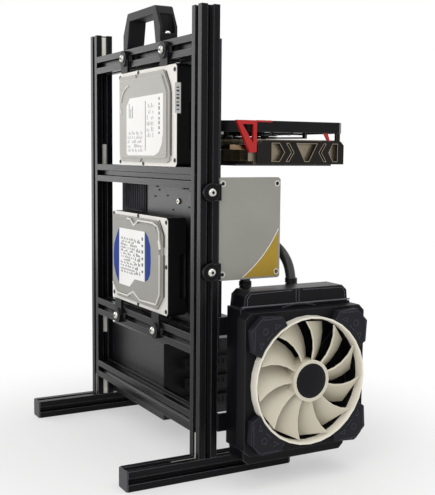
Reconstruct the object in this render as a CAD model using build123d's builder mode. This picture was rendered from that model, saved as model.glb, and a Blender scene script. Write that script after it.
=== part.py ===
from build123d import *
import os
from math import cos, radians, sin, tan

# Open air test bench: a T-slot frame with drives, a main board, a graphics card,
# a power supply and a liquid cooler bolted to it. Millimetres, +Z up, feet on Z = 0.

os.makedirs("parts", exist_ok=True)

# Sides of the small round pieces, kept low because they repeat
SMALL_SIDES = 6
HEAD_SIDES = 8
BOSS_SIDES = 16
SHAFT_SIDES = 16
ROUND_SIDES = 24
RING_SIDES = 32

# T-slot profile
PROFILE = 20.0
SLOT_OPENING = 6.2
SLOT_LIP = 1.8
SLOT_WIDTH = 11.2
SLOT_SHOULDER = 3.4
SLOT_DEPTH = 6.1
SLOT_FLOOR = 5.0
CORE_BORE = 4.2

# Frame
UPRIGHT_PITCH = 270.0
UPRIGHT_LENGTH = 438.0
FOOT_FRONT = 86.0
FOOT_BACK = 97.0
CAP_THICKNESS = 1.6
CAP_CORNER = 1.2
RAIL_DRIVE_HEIGHT = 295.0
BOARD_ROW_UPPER = 127.0
RAIL_BOARD_HEIGHT = 132.0
RAIL_BOTTOM_HEIGHT = 54.0

# Inner corner connectors
CONNECTOR_LEG = 24.0
CONNECTOR_WIDTH = 5.8
CONNECTOR_THICKNESS = 3.8

# Carrying handle
HANDLE_LENGTH = 97.0
HANDLE_TOP_LENGTH = 73.0
HANDLE_HEIGHT = 38.5
HANDLE_SHOULDER = 16.0
HANDLE_LEG = 12.0
HANDLE_BAR = 9.0
HANDLE_FOOT = 9.0
HANDLE_POCKET_WIDTH = 14.0
HANDLE_WALL = 3.0
HANDLE_OFFSET = 5.5

# Fasteners and fits
FIT_GAP = 0.4
SCREW_RADIUS = 2.0
SCREW_HEAD_RADIUS = 4.3
SCREW_HEAD_HEIGHT = 3.0
SCREW_TAPER = 18.0
SCREW_HOLE_RADIUS = 2.2
NUT_LENGTH = 10.0
NUT_WIDTH = 7.6
NUT_THICKNESS = 2.6
SMALL_SCREW_RADIUS = 1.5
SMALL_HEAD_RADIUS = 2.9
SMALL_HEAD_HEIGHT = 1.8

# Drive brackets
BRACKET_WIDTH = 18.0
BRACKET_PLATE = 3.0
BRACKET_FLANGE = 2.2
BRACKET_CUT = 2.0
BRACKET_BOSS_RADIUS = 8.8
BRACKET_BOSS_HEIGHT = 2.0
BRACKET_REACH = 20.0

# Hard drives
DRIVE_LENGTH = 147.0
DRIVE_HEIGHT = 101.6
DRIVE_THICKNESS = 26.1
DRIVE_CORNER = 3.0
DRIVE_COVER = 3.4
COVER_NOTCH = 4.6
DRIVE_BOARD = 1.6
DRIVE_BOARD_INSET = 8.0
DRIVE_HOLE_PITCH = 101.6
DRIVE_HOLE_INSET = 16.9
DRIVE_HOLE_DEPTH = 6.35
DRIVE_PROUD = 5.0
UPPER_DRIVE_START = -50.4
LOWER_DRIVE_START = -70.0
LOWER_DRIVE_GAP = 9.0

# Solid-state drive
SSD_WIDTH = 69.85
SSD_LENGTH = 100.45
SSD_THICKNESS = 7.0
SSD_COVER = 1.2
SSD_CORNER = 2.0
SSD_HOLE_INSET = 9.85
SSD_HOLE_PITCH = 76.6
SSD_RISE = 7.2
SSD_RECESS = 1.8
SSD_FLANGE = 1.6
SSD_BRACKET_WIDTH = 16.0

# Liquid cooler
COOLER_STANDOFF = 2.0
RADIATOR_WIDTH = 128.0
RADIATOR_LENGTH = 170.0
RADIATOR_THICKNESS = 27.0
RADIATOR_TANK = 19.5
RADIATOR_SIDE = 4.0
RADIATOR_CORNER = 5.0
RADIATOR_FLANGE = 3.0
RADIATOR_FIN_INSET = 2.0
RADIATOR_FIN_COUNT = 11
COOLER_Y = 83.0
RADIATOR_BASE = 18.0
RADIATOR_BRACKET_HEIGHT = 18.0
RADIATOR_BRACKET_DROP = 48.0

# Cooler fan
FAN_SIDE = 138.0
FAN_THICKNESS = 25.0
FAN_BODY = 15.0
FAN_PLATE = 4.0
FAN_CORNER = 12.0
FAN_SHIFT = 1.5
FAN_DROP = 2.5
FAN_RING_RADIUS = 63.0
FAN_RING_WALL = 2.6
FAN_RING_LIP = 1.0
FAN_TIP_GAP = 1.2
FAN_BLADES = 11
FAN_HUB_RADIUS = 20.5
FAN_DISC_RADIUS = 17.3
FAN_SPOKES = 4

# Rotor parts shared by all fans
SHAFT_RADIUS = 1.5
SHAFT_CLEARANCE = 0.05
BEARING_WALL = 3.0
BEARING_LENGTH = 6.0
BEARING_FLOOR = 0.8
SHAFT_TAIL = 1.2
RUNNING_GAP = 0.8
HUB_WALL = 2.0
BLADE_THICKNESS = 1.6

# Hoses and pump
HOSE_DIAMETER = 10.4
FITTING_X = 129.0
FITTING_RADIUS = 6.4
FITTING_BODY = 6.0
FITTING_NECK = 5.4
FITTING_COLLAR = 3.0
PUMP_X = -13.0
PUMP_Z = 207.5
PUMP_RADIUS = 31.0
PUMP_FRONT = 70.0
PUMP_EDGE = 3.0
PUMP_BASE_THICKNESS = 6.0
PUMP_FRAME_SPAN = 75.0
PUMP_PORT_Y = 62.0
PUMP_PORT_X = 26.0
HOSE_SIDES = 8
HOSE_STEPS = 18
HOSE_RIGHT_Y = 105.0
HOSE_LEFT_Y = 50.0
HOSE_RIGHT_PORT = 11.5
HOSE_LEFT_PORT = -11.5
FITTING_RISE = 2.0

# Routes of the hoses: share of the way along X, share along Y, lift above the straight line
HOSE_RIGHT_SHAPE = [
    (0.02, 0.0, 13.4), (0.10, 0.05, 24.8), (0.23, 0.14, 31.3), (0.40, 0.28, 30.9),
    (0.56, 0.49, 25.4), (0.71, 0.72, 15.6), (0.84, 0.93, 6.6),
]
HOSE_LEFT_SHAPE = [
    (0.02, 0.08, 12.8), (0.10, 0.25, 23.0), (0.23, 0.50, 27.7), (0.39, 0.75, 25.6),
    (0.53, 0.96, 17.7), (0.69, 1.04, 9.1), (0.84, 1.0, 3.0),
]

# Main board
BOARD_LENGTH = 304.8
BOARD_DEPTH = 243.8
BOARD_THICKNESS = 1.6
BOARD_SSD_GAP = 3.4
BOARD_LOWER_MARGIN = 16.51
BOARD_ROW_LOWER = 154.94
BOARD_REAR_MARGIN = 10.16
BOARD_COLUMN_PITCH = 124.46
STANDOFF_LENGTH = 7.0
STANDOFF_RADIUS = 3.0
CLIP_THICKNESS = 1.5
CLIP_WIDTH = 12.0

# Memory and expansion
MEMORY_START = 45.0
MEMORY_PITCH = 9.6
MEMORY_COUNT = 4
MEMORY_LENGTH = 133.35
MEMORY_BASE = 136.0
MEMORY_SOCKET_WIDTH = 6.4
MEMORY_SOCKET_HEIGHT = 9.0
MODULE_HEIGHT = 31.0
MODULE_THICKNESS = 3.6
SLOT_PITCH = 20.32
SLOT_SOCKET_WIDTH = 7.4
SLOT_SOCKET_HEIGHT = 11.0

# Graphics card
CARD_BASE = 307.0
CARD_NEAR = 150.0
CARD_LENGTH = 262.0
CARD_BACK = 155.0
CARD_FRONT = 22.0
CARD_HEIGHT = 44.0
CARD_BOARD = 1.6
CARD_FIN_TOP = 26.0
CARD_FIN_COUNT = 16
CARD_FIN_INSET = 20.0
CARD_SKIRT = 11.0
CARD_SHEET = 2.0
CARD_FAN_RADIUS = 43.0
CARD_FAN_PITCH = 96.0
CARD_FAN_BLADES = 11
CARD_HUB_RADIUS = 14.0
CARD_PLATE = 3.0
CARD_TRIM = 4.0
CARD_TRIM_WIDTH = 27.0
PIPE_RADIUS = 2.7
PIPE_PITCH = 6.0
BRACKET_SHEET = 1.0

# Cut-outs in the card's end plate: where each starts, then its corners about the plate's middle line
CARD_PLATE_CUTS = [
    (44, [(0, 9), (9, 9), (15, 0), (9, -9), (0, -9)]),
    (61, [(0, 9), (3, 9), (9, 0), (3, -9), (0, -9), (6, 0)]),
    (73, [(0, 9), (25, 9), (15, -9), (10, -9)]),
    (102, [(7, 9), (4, 9), (-2, 0), (4, -9), (7, -9), (1, 0)]),
    (112, [(0, 0), (5, 9), (11, 9), (11, -9), (5, -9)]),
]

# Power supply
PSU_WIDTH = 150.0
PSU_HEIGHT = 86.0
PSU_DEPTH = 150.0
PSU_SHEET = 1.0
PSU_NEAR = 22.0
PSU_BRACKET = 1.5
PSU_BRACKET_INSET = 27.0
PSU_BRACKET_HEIGHT = 16.0
PSU_BRACKET_REACH = 9.5
PSU_BASE = 24.0
PSU_FAN_SIDE = 120.0
PSU_FAN_DEPTH = 25.0
PSU_FAN_BLADES = 9
PSU_GRILLE_RINGS = 3
PSU_RING_WIDTH = 2.4
INLET_OFFSET = 108.0
INLET_HEIGHT = 46.0
SWITCH_HEIGHT = 20.0
SWITCH_WIDTH = 18.0
SWITCH_DEPTH = 4.0
SWITCH_PIN = 22.0
SWITCH_PIN_RADIUS = 1.2
SWITCH_ANGLE = 8.0

# Places worked out from the sizes above. The origin is the middle of the base of the whole box.
half_span = (UPRIGHT_PITCH + PROFILE) / 2
near_reach = half_span + COOLER_STANDOFF + RADIATOR_THICKNESS + FAN_THICKNESS
back_reach = PROFILE / 2 + PSU_WIDTH
FRAME_X = (half_span - near_reach) / 2
FRAME_Y = (FOOT_FRONT - back_reach) / 2
NEAR_X = FRAME_X + UPRIGHT_PITCH / 2
FAR_X = FRAME_X - UPRIGHT_PITCH / 2
OUTER_FACE = NEAR_X + PROFILE / 2
FRONT_FACE = FRAME_Y - PROFILE / 2
BACK_FACE = FRAME_Y + PROFILE / 2
RAIL_TOP_HEIGHT = RAIL_DRIVE_HEIGHT + BOARD_ROW_UPPER
RAIL_LENGTH = UPRIGHT_PITCH - PROFILE


def save(piece, name):
    """Label a finished piece and write it as one STEP file."""
    piece.part.label = name
    export_step(piece.part, f"parts/{name}.step")


def block(x, y, z, mode=Mode.ADD):
    """A box between two values on each axis."""
    with Locations(((x[0] + x[1]) / 2, (y[0] + y[1]) / 2, (z[0] + z[1]) / 2)):
        Box(x[1] - x[0], y[1] - y[0], z[1] - z[0], mode=mode)


def front_plane(y):
    """A plane that faces the drive side: local x is X, local y is Z."""
    return Plane(origin=(0, y, 0), x_dir=(1, 0, 0), z_dir=(0, -1, 0))


def side_plane(x):
    """A plane that faces the cooler side: local x is Y, local y is Z."""
    return Plane(origin=(x, 0, 0), x_dir=(0, 1, 0), z_dir=(1, 0, 0))


def rod(start, direction, radius, length, sides=SMALL_SIDES, taper=0.0, mode=Mode.ADD):
    """A bar with a few sides from a point along a direction."""
    with BuildSketch(Plane(origin=start, z_dir=direction)) as section:
        RegularPolygon(radius, sides)
    extrude(section.sketch, amount=length, taper=taper, mode=mode)


def faceted_solid(sections):
    """A solid through rings of points, with flat triangles between one ring and the next."""
    faces = [Face(Wire.make_polygon(sections[0])), Face(Wire.make_polygon(sections[-1]))]
    for lower, upper in zip(sections, sections[1:]):
        for i in range(len(lower)):
            j = (i + 1) % len(lower)
            faces.append(Face(Wire.make_polygon([lower[i], lower[j], upper[j]])))
            faces.append(Face(Wire.make_polygon([lower[i], upper[j], upper[i]])))
    return Solid(Shell(faces))


def cut_rectangle(width, height, cut):
    """A rectangle with its corners cut."""
    x = width / 2
    y = height / 2
    Polygon((cut - x, -y), (x - cut, -y), (x, cut - y), (x, y - cut), (x - cut, y), (cut - x, y),
            (-x, y - cut), (-x, cut - y), align=None)


def slot_section():
    """The section of the square T-slot profile."""
    Rectangle(PROFILE, PROFILE)
    half_mouth = SLOT_OPENING / 2
    half_slot = SLOT_WIDTH / 2
    half_floor = SLOT_FLOOR / 2
    with PolarLocations(PROFILE / 2, 4):
        Polygon(
            (0, half_mouth), (-SLOT_LIP, half_mouth), (-SLOT_LIP, half_slot),
            (-SLOT_SHOULDER, half_slot), (-SLOT_DEPTH, half_floor), (-SLOT_DEPTH, -half_floor),
            (-SLOT_SHOULDER, -half_slot), (-SLOT_LIP, -half_slot), (-SLOT_LIP, -half_mouth),
            (0, -half_mouth), align=None, mode=Mode.SUBTRACT,
        )
    RegularPolygon(CORE_BORE / 2, SMALL_SIDES, mode=Mode.SUBTRACT)


def profile_bar(plane, length):
    """A length of T-slot profile that starts on a plane."""
    with BuildPart() as bar:
        with BuildSketch(plane):
            slot_section()
        extrude(amount=length)
    return bar


# Uprights, rails and feet
for name, x in (("upright_near", NEAR_X), ("upright_far", FAR_X)):
    save(profile_bar(Plane(origin=(x, FRAME_Y, PROFILE)), UPRIGHT_LENGTH), name)

rail_heights = {
    "rail_top": RAIL_TOP_HEIGHT, "rail_drive": RAIL_DRIVE_HEIGHT,
    "rail_board": RAIL_BOARD_HEIGHT, "rail_bottom": RAIL_BOTTOM_HEIGHT,
}
for name, height in rail_heights.items():
    start = Plane(origin=(FAR_X + PROFILE / 2, FRAME_Y, height), x_dir=(0, 1, 0), z_dir=(1, 0, 0))
    save(profile_bar(start, RAIL_LENGTH), name)

foot_start = FRAME_Y - FOOT_FRONT + CAP_THICKNESS
foot_end = FRAME_Y + FOOT_BACK - CAP_THICKNESS
for name, x in (("foot_near", NEAR_X), ("foot_far", FAR_X)):
    start = Plane(origin=(x, foot_start, PROFILE / 2), x_dir=(1, 0, 0), z_dir=(0, 1, 0))
    save(profile_bar(start, foot_end - foot_start), name)

with BuildPart() as foot_end_caps:
    for y in (foot_start, foot_end + CAP_THICKNESS):
        with BuildSketch(front_plane(y)):
            with Locations((NEAR_X, PROFILE / 2), (FAR_X, PROFILE / 2)):
                cut_rectangle(PROFILE, PROFILE, CAP_CORNER)
        extrude(amount=CAP_THICKNESS)
save(foot_end_caps, "foot_end_caps")


def connector(plane):
    """An L connector lying in two slots. Local x runs along one slot and local y along the other."""
    inset = SLOT_LIP + 0.1
    outer = inset + CONNECTOR_THICKNESS
    with BuildSketch(plane) as outline:
        Polygon(
            (-outer, -outer), (CONNECTOR_LEG, -outer), (CONNECTOR_LEG, -inset),
            (-inset, -inset), (-inset, CONNECTOR_LEG), (-outer, CONNECTOR_LEG), align=None,
        )
    extrude(outline.sketch, amount=CONNECTOR_WIDTH / 2, both=True)


with BuildPart() as corner_connectors:
    for height, upward in ((RAIL_TOP_HEIGHT, 1), (RAIL_DRIVE_HEIGHT, 1),
                           (RAIL_BOARD_HEIGHT, -1), (RAIL_BOTTOM_HEIGHT, -1)):
        corner_z = height + upward * PROFILE / 2
        for x, inward in ((FAR_X + PROFILE / 2, 1), (NEAR_X - PROFILE / 2, -1)):
            connector(Plane(origin=(x, FRAME_Y, corner_z), x_dir=(inward, 0, 0),
                            z_dir=(0, -inward * upward, 0)))
    for x in (NEAR_X, FAR_X):
        for outward in (-1, 1):
            connector(Plane(origin=(x, FRAME_Y + outward * PROFILE / 2, PROFILE),
                            x_dir=(0, outward, 0), z_dir=(outward, 0, 0)))
save(corner_connectors, "corner_connectors")

# Carrying handle on the top rail
handle_x = FRAME_X + HANDLE_OFFSET
handle_z = RAIL_TOP_HEIGHT + PROFILE / 2
handle_pocket_x = HANDLE_LENGTH / 2 - HANDLE_LEG + HANDLE_WALL
handle_screw_x = handle_pocket_x + SCREW_HEAD_RADIUS + FIT_GAP
with BuildPart() as carry_handle:
    with BuildSketch(front_plane(FRAME_Y)) as handle_side:
        with Locations((handle_x, handle_z)):
            Polygon(
                (-HANDLE_LENGTH / 2, 0), (-HANDLE_LENGTH / 2, HANDLE_SHOULDER),
                (-HANDLE_TOP_LENGTH / 2, HANDLE_HEIGHT), (HANDLE_TOP_LENGTH / 2, HANDLE_HEIGHT),
                (HANDLE_LENGTH / 2, HANDLE_SHOULDER), (HANDLE_LENGTH / 2, 0), align=None,
            )
            Polygon(
                (-HANDLE_LENGTH / 2 + HANDLE_LEG, 0),
                (-HANDLE_TOP_LENGTH / 2 + HANDLE_LEG / 2, HANDLE_HEIGHT - HANDLE_BAR),
                (HANDLE_TOP_LENGTH / 2 - HANDLE_LEG / 2, HANDLE_HEIGHT - HANDLE_BAR),
                (HANDLE_LENGTH / 2 - HANDLE_LEG, 0), align=None, mode=Mode.SUBTRACT,
            )
        fillet(handle_side.vertices().group_by(Axis.Y)[-1], HANDLE_BAR / 2)
    extrude(amount=PROFILE / 2, both=True)
    for end in (-1, 1):
        pocket = sorted((handle_x + end * handle_pocket_x, handle_x + end * HANDLE_LENGTH))
        block(pocket, (FRAME_Y - HANDLE_POCKET_WIDTH / 2, FRAME_Y + HANDLE_POCKET_WIDTH / 2),
              (handle_z + HANDLE_FOOT, handle_z + HANDLE_HEIGHT - HANDLE_BAR), mode=Mode.SUBTRACT)
        rod((handle_x + end * handle_screw_x, FRAME_Y, handle_z - 1), (0, 0, 1),
            SCREW_HOLE_RADIUS, HANDLE_FOOT + 2, mode=Mode.SUBTRACT)
save(carry_handle, "carry_handle")

# Places of the drives and the cooler
COOLER_Z = RADIATOR_BASE + RADIATOR_LENGTH / 2
SSD_BASE_HEIGHT = RADIATOR_BASE + RADIATOR_LENGTH + SSD_RISE
drive_front = FRONT_FACE - DRIVE_PROUD
drive_back = drive_front + DRIVE_THICKNESS
drive_hole_y = drive_back - DRIVE_HOLE_DEPTH
upper_start = FRAME_X + UPPER_DRIVE_START
lower_start = FRAME_X + LOWER_DRIVE_START
upper_base = RAIL_DRIVE_HEIGHT + PROFILE / 2
upper_top = upper_base + DRIVE_HEIGHT
lower_base = RAIL_BOARD_HEIGHT + PROFILE / 2 + LOWER_DRIVE_GAP
ssd_cover_x = OUTER_FACE - SSD_RECESS
ssd_start = BACK_FACE + SSD_FLANGE
upper_holes = [upper_start + DRIVE_HOLE_INSET + i * DRIVE_HOLE_PITCH for i in range(2)]
lower_holes = [lower_start + DRIVE_HOLE_INSET + i * DRIVE_HOLE_PITCH for i in range(2)]
ssd_holes = [SSD_BASE_HEIGHT + SSD_HOLE_INSET + i * SSD_HOLE_PITCH for i in range(2)]


def rail_bracket(x, rail_z, drive_z, upward):
    """An L bracket on a rail's front face whose flange lies against a drive's edge."""
    seat = drive_z - upward * BRACKET_FLANGE
    span = (x - BRACKET_WIDTH / 2, x + BRACKET_WIDTH / 2)
    plate_front = FRONT_FACE - BRACKET_PLATE
    boss_height = BRACKET_PLATE + BRACKET_BOSS_HEIGHT
    with BuildSketch(front_plane(FRONT_FACE)) as plate:
        with Locations((x, (rail_z + drive_z) / 2)):
            cut_rectangle(BRACKET_WIDTH, abs(drive_z - rail_z), BRACKET_CUT)
    extrude(plate.sketch, amount=BRACKET_PLATE)
    block(span, (plate_front, plate_front + BRACKET_REACH + BRACKET_PLATE), sorted((seat, drive_z)))
    rod((x, FRONT_FACE, rail_z), (0, -1, 0), BRACKET_BOSS_RADIUS, boss_height, sides=BOSS_SIDES)
    rod((x, FRONT_FACE, rail_z), (0, -1, 0), SCREW_HOLE_RADIUS, boss_height, mode=Mode.SUBTRACT)
    rod((x, drive_hole_y, seat), (0, 0, upward), SMALL_SCREW_RADIUS + 0.2,
        BRACKET_FLANGE, mode=Mode.SUBTRACT)


with BuildPart() as upper_drive_brackets:
    for x in upper_holes:
        rail_bracket(x, RAIL_TOP_HEIGHT, upper_top, -1)
save(upper_drive_brackets, "upper_drive_brackets")

with BuildPart() as lower_drive_brackets:
    for x in lower_holes:
        rail_bracket(x, RAIL_BOARD_HEIGHT, lower_base, 1)
save(lower_drive_brackets, "lower_drive_brackets")

with BuildPart() as ssd_brackets:
    ssd_boss_height = BRACKET_PLATE + BRACKET_BOSS_HEIGHT
    for z in ssd_holes:
        with BuildSketch(side_plane(OUTER_FACE)):
            with Locations(((FRAME_Y + ssd_start) / 2, z)):
                cut_rectangle(ssd_start - FRAME_Y, SSD_BRACKET_WIDTH, SSD_FLANGE * 0.9)
        extrude(amount=BRACKET_PLATE)
        block((ssd_cover_x - SSD_THICKNESS, OUTER_FACE + BRACKET_PLATE), (BACK_FACE, ssd_start),
              (z - SSD_BRACKET_WIDTH / 2, z + SSD_BRACKET_WIDTH / 2))
        rod((OUTER_FACE, FRAME_Y, z), (1, 0, 0), BRACKET_BOSS_RADIUS, ssd_boss_height, sides=BOSS_SIDES)
        rod((OUTER_FACE, FRAME_Y, z), (1, 0, 0), SCREW_HOLE_RADIUS, ssd_boss_height, mode=Mode.SUBTRACT)
save(ssd_brackets, "ssd_brackets")

# Places of the board and the power supply
board_back = BACK_FACE + STANDOFF_LENGTH
board_front = board_back + BOARD_THICKNESS
board_near = ssd_cover_x - SSD_THICKNESS - BOARD_SSD_GAP
board_far = board_near - BOARD_DEPTH
lower_row = RAIL_DRIVE_HEIGHT - BOARD_ROW_LOWER
board_base = lower_row - BOARD_LOWER_MARGIN
board_top = board_base + BOARD_LENGTH
board_columns = [board_far + BOARD_REAR_MARGIN + i * BOARD_COLUMN_PITCH for i in range(2)]
psu_far = FRAME_X + PSU_NEAR - PSU_DEPTH
psu_near = FRAME_X + PSU_NEAR
psu_front = BACK_FACE
psu_back = psu_front + PSU_WIDTH
psu_top = PSU_BASE + PSU_HEIGHT
psu_bracket_rows = [PSU_BASE + PSU_BRACKET_INSET, psu_top - PSU_BRACKET_INSET]

# Screws into slot nuts: where each head sits, and which way it points
bracket_stack = BRACKET_PLATE + BRACKET_BOSS_HEIGHT
radiator_bracket_rows = [COOLER_Z - RADIATOR_BRACKET_DROP, COOLER_Z + RADIATOR_BRACKET_DROP]
slot_screws = []
for x in upper_holes:
    slot_screws.append(((x, FRONT_FACE, RAIL_TOP_HEIGHT), (0, -1, 0), bracket_stack))
for x in lower_holes:
    slot_screws.append(((x, FRONT_FACE, RAIL_BOARD_HEIGHT), (0, -1, 0), bracket_stack))
for z in ssd_holes:
    slot_screws.append(((OUTER_FACE, FRAME_Y, z), (1, 0, 0), bracket_stack))
for end in (-1, 1):
    slot_screws.append(((handle_x + end * handle_screw_x, FRAME_Y, handle_z), (0, 0, 1), HANDLE_FOOT))
for z in radiator_bracket_rows:
    slot_screws.append(((NEAR_X, BACK_FACE, z), (0, 1, 0), COOLER_STANDOFF))
for x in board_columns:
    slot_screws.append(((x, BACK_FACE, RAIL_BOARD_HEIGHT), (0, 1, 0), CLIP_THICKNESS))
for z in psu_bracket_rows:
    slot_screws.append(((FAR_X, BACK_FACE, z), (0, 1, 0), PSU_BRACKET))

with BuildPart() as bracket_screws:
    for face, outward, stack in slot_screws:
        seat = Vector(face) + Vector(outward) * stack
        inward = Vector(outward) * -1
        rod(tuple(seat), outward, SCREW_HEAD_RADIUS, SCREW_HEAD_HEIGHT, sides=HEAD_SIDES, taper=SCREW_TAPER)
        rod(tuple(seat), tuple(inward), SCREW_RADIUS, stack + SLOT_LIP + NUT_THICKNESS)
save(bracket_screws, "bracket_screws")

board_nuts = [(x, z) for x in board_columns for z in (RAIL_TOP_HEIGHT, RAIL_DRIVE_HEIGHT)]

with BuildPart() as slot_nuts:
    nut_places = [(face, outward) for face, outward, stack in slot_screws]
    nut_places += [((x, BACK_FACE, z), (0, 1, 0)) for x, z in board_nuts]
    upright_faces = [face for face, outward in nut_places if face[0] in (OUTER_FACE, NEAR_X, FAR_X)]
    for face, outward in nut_places:
        along = (0, 0, 1) if face in upright_faces else (1, 0, 0)
        inner = Vector(face) - Vector(outward) * SLOT_LIP
        across = Vector(outward).cross(Vector(along))
        with BuildSketch(Plane(origin=inner, x_dir=across, z_dir=along)):
            Rectangle(NUT_WIDTH, NUT_THICKNESS, align=(Align.CENTER, Align.MAX))
        extrude(amount=NUT_LENGTH / 2, both=True)
        rod(tuple(inner), tuple(Vector(outward) * -1), SCREW_HOLE_RADIUS, NUT_THICKNESS, mode=Mode.SUBTRACT)
save(slot_nuts, "slot_nuts")


def drive_base(start, base):
    """The cast base of a hard drive, with a stepped rim round the cover."""
    rim = drive_front + DRIVE_COVER
    with BuildPart() as casting:
        with BuildSketch(front_plane(drive_back - DRIVE_BOARD)):
            with Locations((start + DRIVE_LENGTH / 2, base + DRIVE_HEIGHT / 2)):
                cut_rectangle(DRIVE_LENGTH, DRIVE_HEIGHT, DRIVE_CORNER)
        extrude(amount=drive_back - DRIVE_BOARD - rim)
        for edge in (base, base + DRIVE_HEIGHT):
            outward = -1 if edge == base else 1
            for i in range(2):
                hole_x = start + DRIVE_HOLE_INSET + i * DRIVE_HOLE_PITCH
                rod((hole_x, drive_hole_y, edge), (0, 0, -outward), SMALL_SCREW_RADIUS + 0.1,
                    DRIVE_HOLE_DEPTH, mode=Mode.SUBTRACT)
        plug_y = drive_back - DRIVE_BOARD
        block((start + DRIVE_LENGTH - 9, start + DRIVE_LENGTH), (plug_y - 7, plug_y),
              (base + 18, base + 64), mode=Mode.SUBTRACT)
    return casting


save(drive_base(upper_start, upper_base), "upper_drive_base")
save(drive_base(lower_start, lower_base), "lower_drive_base")

cover_seat = drive_front + DRIVE_COVER
cover_step = DRIVE_COVER * 0.6
with BuildPart() as upper_drive_cover:
    left = upper_start + 5
    right = upper_start + DRIVE_LENGTH - 13
    low = upper_base + 4
    high = upper_top - 4
    with BuildSketch(front_plane(cover_seat)) as plate:
        Polygon((left + 9, low), (right - 7, low), (right - 2, low + 2), (right, low + 7),
                (right, high - 23), (right - 2, high - 18), (right - 13, high - 2), (right - 17, high),
                (left + 5, high), (left + 1, high - 1), (left, high - 5), (left, low + 9),
                (left + 3, low + 3), align=None)
    extrude(amount=cover_step)
    with BuildSketch(front_plane(cover_seat - cover_step)):
        add(plate.sketch)
        offset(amount=-5, kind=Kind.INTERSECTION, mode=Mode.REPLACE)
    extrude(amount=DRIVE_COVER - cover_step)
    for notch_x, notch_z in ((left + 61, low), (left + 48, high)):
        rod((notch_x, cover_seat, notch_z), (0, -1, 0), COVER_NOTCH, cover_step, sides=HEAD_SIDES,
            mode=Mode.SUBTRACT)
save(upper_drive_cover, "upper_drive_cover")

with BuildPart() as lower_drive_cover:
    left = lower_start + 3
    right = lower_start + DRIVE_LENGTH - 9
    low = lower_base + 4
    high = lower_base + DRIVE_HEIGHT - 4
    cut = 14
    with BuildSketch(front_plane(cover_seat)) as plate:
        Polygon((left + cut, low), (right - cut, low), (right, low + cut), (right, high - cut),
                (right - cut, high), (left, high), (left, low + cut), align=None)
    extrude(amount=cover_step)
    with BuildSketch(front_plane(cover_seat - cover_step)):
        add(plate.sketch)
        offset(amount=-6, kind=Kind.INTERSECTION, mode=Mode.REPLACE)
    extrude(amount=DRIVE_COVER - cover_step)
save(lower_drive_cover, "lower_drive_cover")

with BuildPart() as drive_boards:
    for start, base in ((upper_start, upper_base), (lower_start, lower_base)):
        with BuildSketch(front_plane(drive_back)):
            with Locations((start + DRIVE_LENGTH * 0.64, base + DRIVE_HEIGHT / 2)):
                Rectangle(DRIVE_LENGTH * 0.66, DRIVE_HEIGHT - 2 * DRIVE_BOARD_INSET)
        extrude(amount=DRIVE_BOARD)
save(drive_boards, "drive_boards")

# Solid-state drive beside the near upright
ssd_middle = (ssd_start + SSD_WIDTH / 2, SSD_BASE_HEIGHT + SSD_LENGTH / 2)
with BuildPart() as ssd_base:
    with BuildSketch(side_plane(ssd_cover_x - SSD_THICKNESS)):
        with Locations(ssd_middle):
            cut_rectangle(SSD_WIDTH, SSD_LENGTH, SSD_CORNER)
    extrude(amount=SSD_THICKNESS - SSD_COVER)
    block((ssd_cover_x - SSD_THICKNESS + 1, ssd_cover_x - SSD_COVER - 1),
          (ssd_start + 14, ssd_start + 56), (SSD_BASE_HEIGHT - 1, SSD_BASE_HEIGHT + 5), mode=Mode.SUBTRACT)
save(ssd_base, "ssd_base")

with BuildPart() as ssd_cover:
    with BuildSketch(side_plane(ssd_cover_x - SSD_COVER)):
        with Locations(ssd_middle):
            cut_rectangle(SSD_WIDTH, SSD_LENGTH, SSD_CORNER)
            with GridLocations(SSD_WIDTH - 8, SSD_LENGTH - 12, 2, 2):
                RegularPolygon(1.9, SMALL_SIDES, mode=Mode.SUBTRACT)
    extrude(amount=SSD_COVER)
save(ssd_cover, "ssd_cover")

# Radiator
cooler_y = FRAME_Y + COOLER_Y
radiator_back = OUTER_FACE + COOLER_STANDOFF
radiator_front = radiator_back + RADIATOR_THICKNESS
core_half = RADIATOR_LENGTH / 2 - RADIATOR_TANK
with BuildPart() as radiator_frame:
    with BuildSketch(side_plane(radiator_back)):
        with Locations((cooler_y, COOLER_Z)):
            Rectangle(RADIATOR_WIDTH, 2 * core_half)
            Rectangle(RADIATOR_WIDTH - 2 * RADIATOR_SIDE, 2 * core_half, mode=Mode.SUBTRACT)
    extrude(amount=RADIATOR_THICKNESS)
    for outward in (-1, 1):
        seam = COOLER_Z + outward * core_half
        end = seam + outward * RADIATOR_TANK
        flange = seam + outward * RADIATOR_FLANGE
        half = RADIATOR_WIDTH / 2
        neck = half - RADIATOR_FLANGE
        with BuildSketch(side_plane(radiator_back)) as tank:
            with Locations((cooler_y, (seam + flange) / 2)):
                Rectangle(2 * half, RADIATOR_FLANGE)
            Polygon((cooler_y - neck, seam), (cooler_y + neck, seam), (cooler_y + neck - 2, end),
                    (cooler_y - neck + 2, end), align=None)
            chamfer(tank.vertices().group_by(Axis.Y)[-1 if outward > 0 else 0], RADIATOR_CORNER)
        extrude(amount=RADIATOR_THICKNESS)
save(radiator_frame, "radiator_frame")

with BuildPart() as radiator_core:
    core_width = RADIATOR_WIDTH - 2 * RADIATOR_SIDE
    fin_back = radiator_back + RADIATOR_FIN_INSET
    fin_front = radiator_front - RADIATOR_FIN_INSET
    block((fin_back + 2, fin_front - 2), (cooler_y - core_width / 2, cooler_y + core_width / 2),
          (COOLER_Z - core_half, COOLER_Z + core_half))
    tube_pitch = core_width / RADIATOR_FIN_COUNT
    for i in range(RADIATOR_FIN_COUNT):
        tube_y = cooler_y - core_width / 2 + (i + 0.5) * tube_pitch
        block((fin_back, fin_front), (tube_y - 1, tube_y + 1),
              (COOLER_Z - core_half, COOLER_Z + core_half))
save(radiator_core, "radiator_core")

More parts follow.
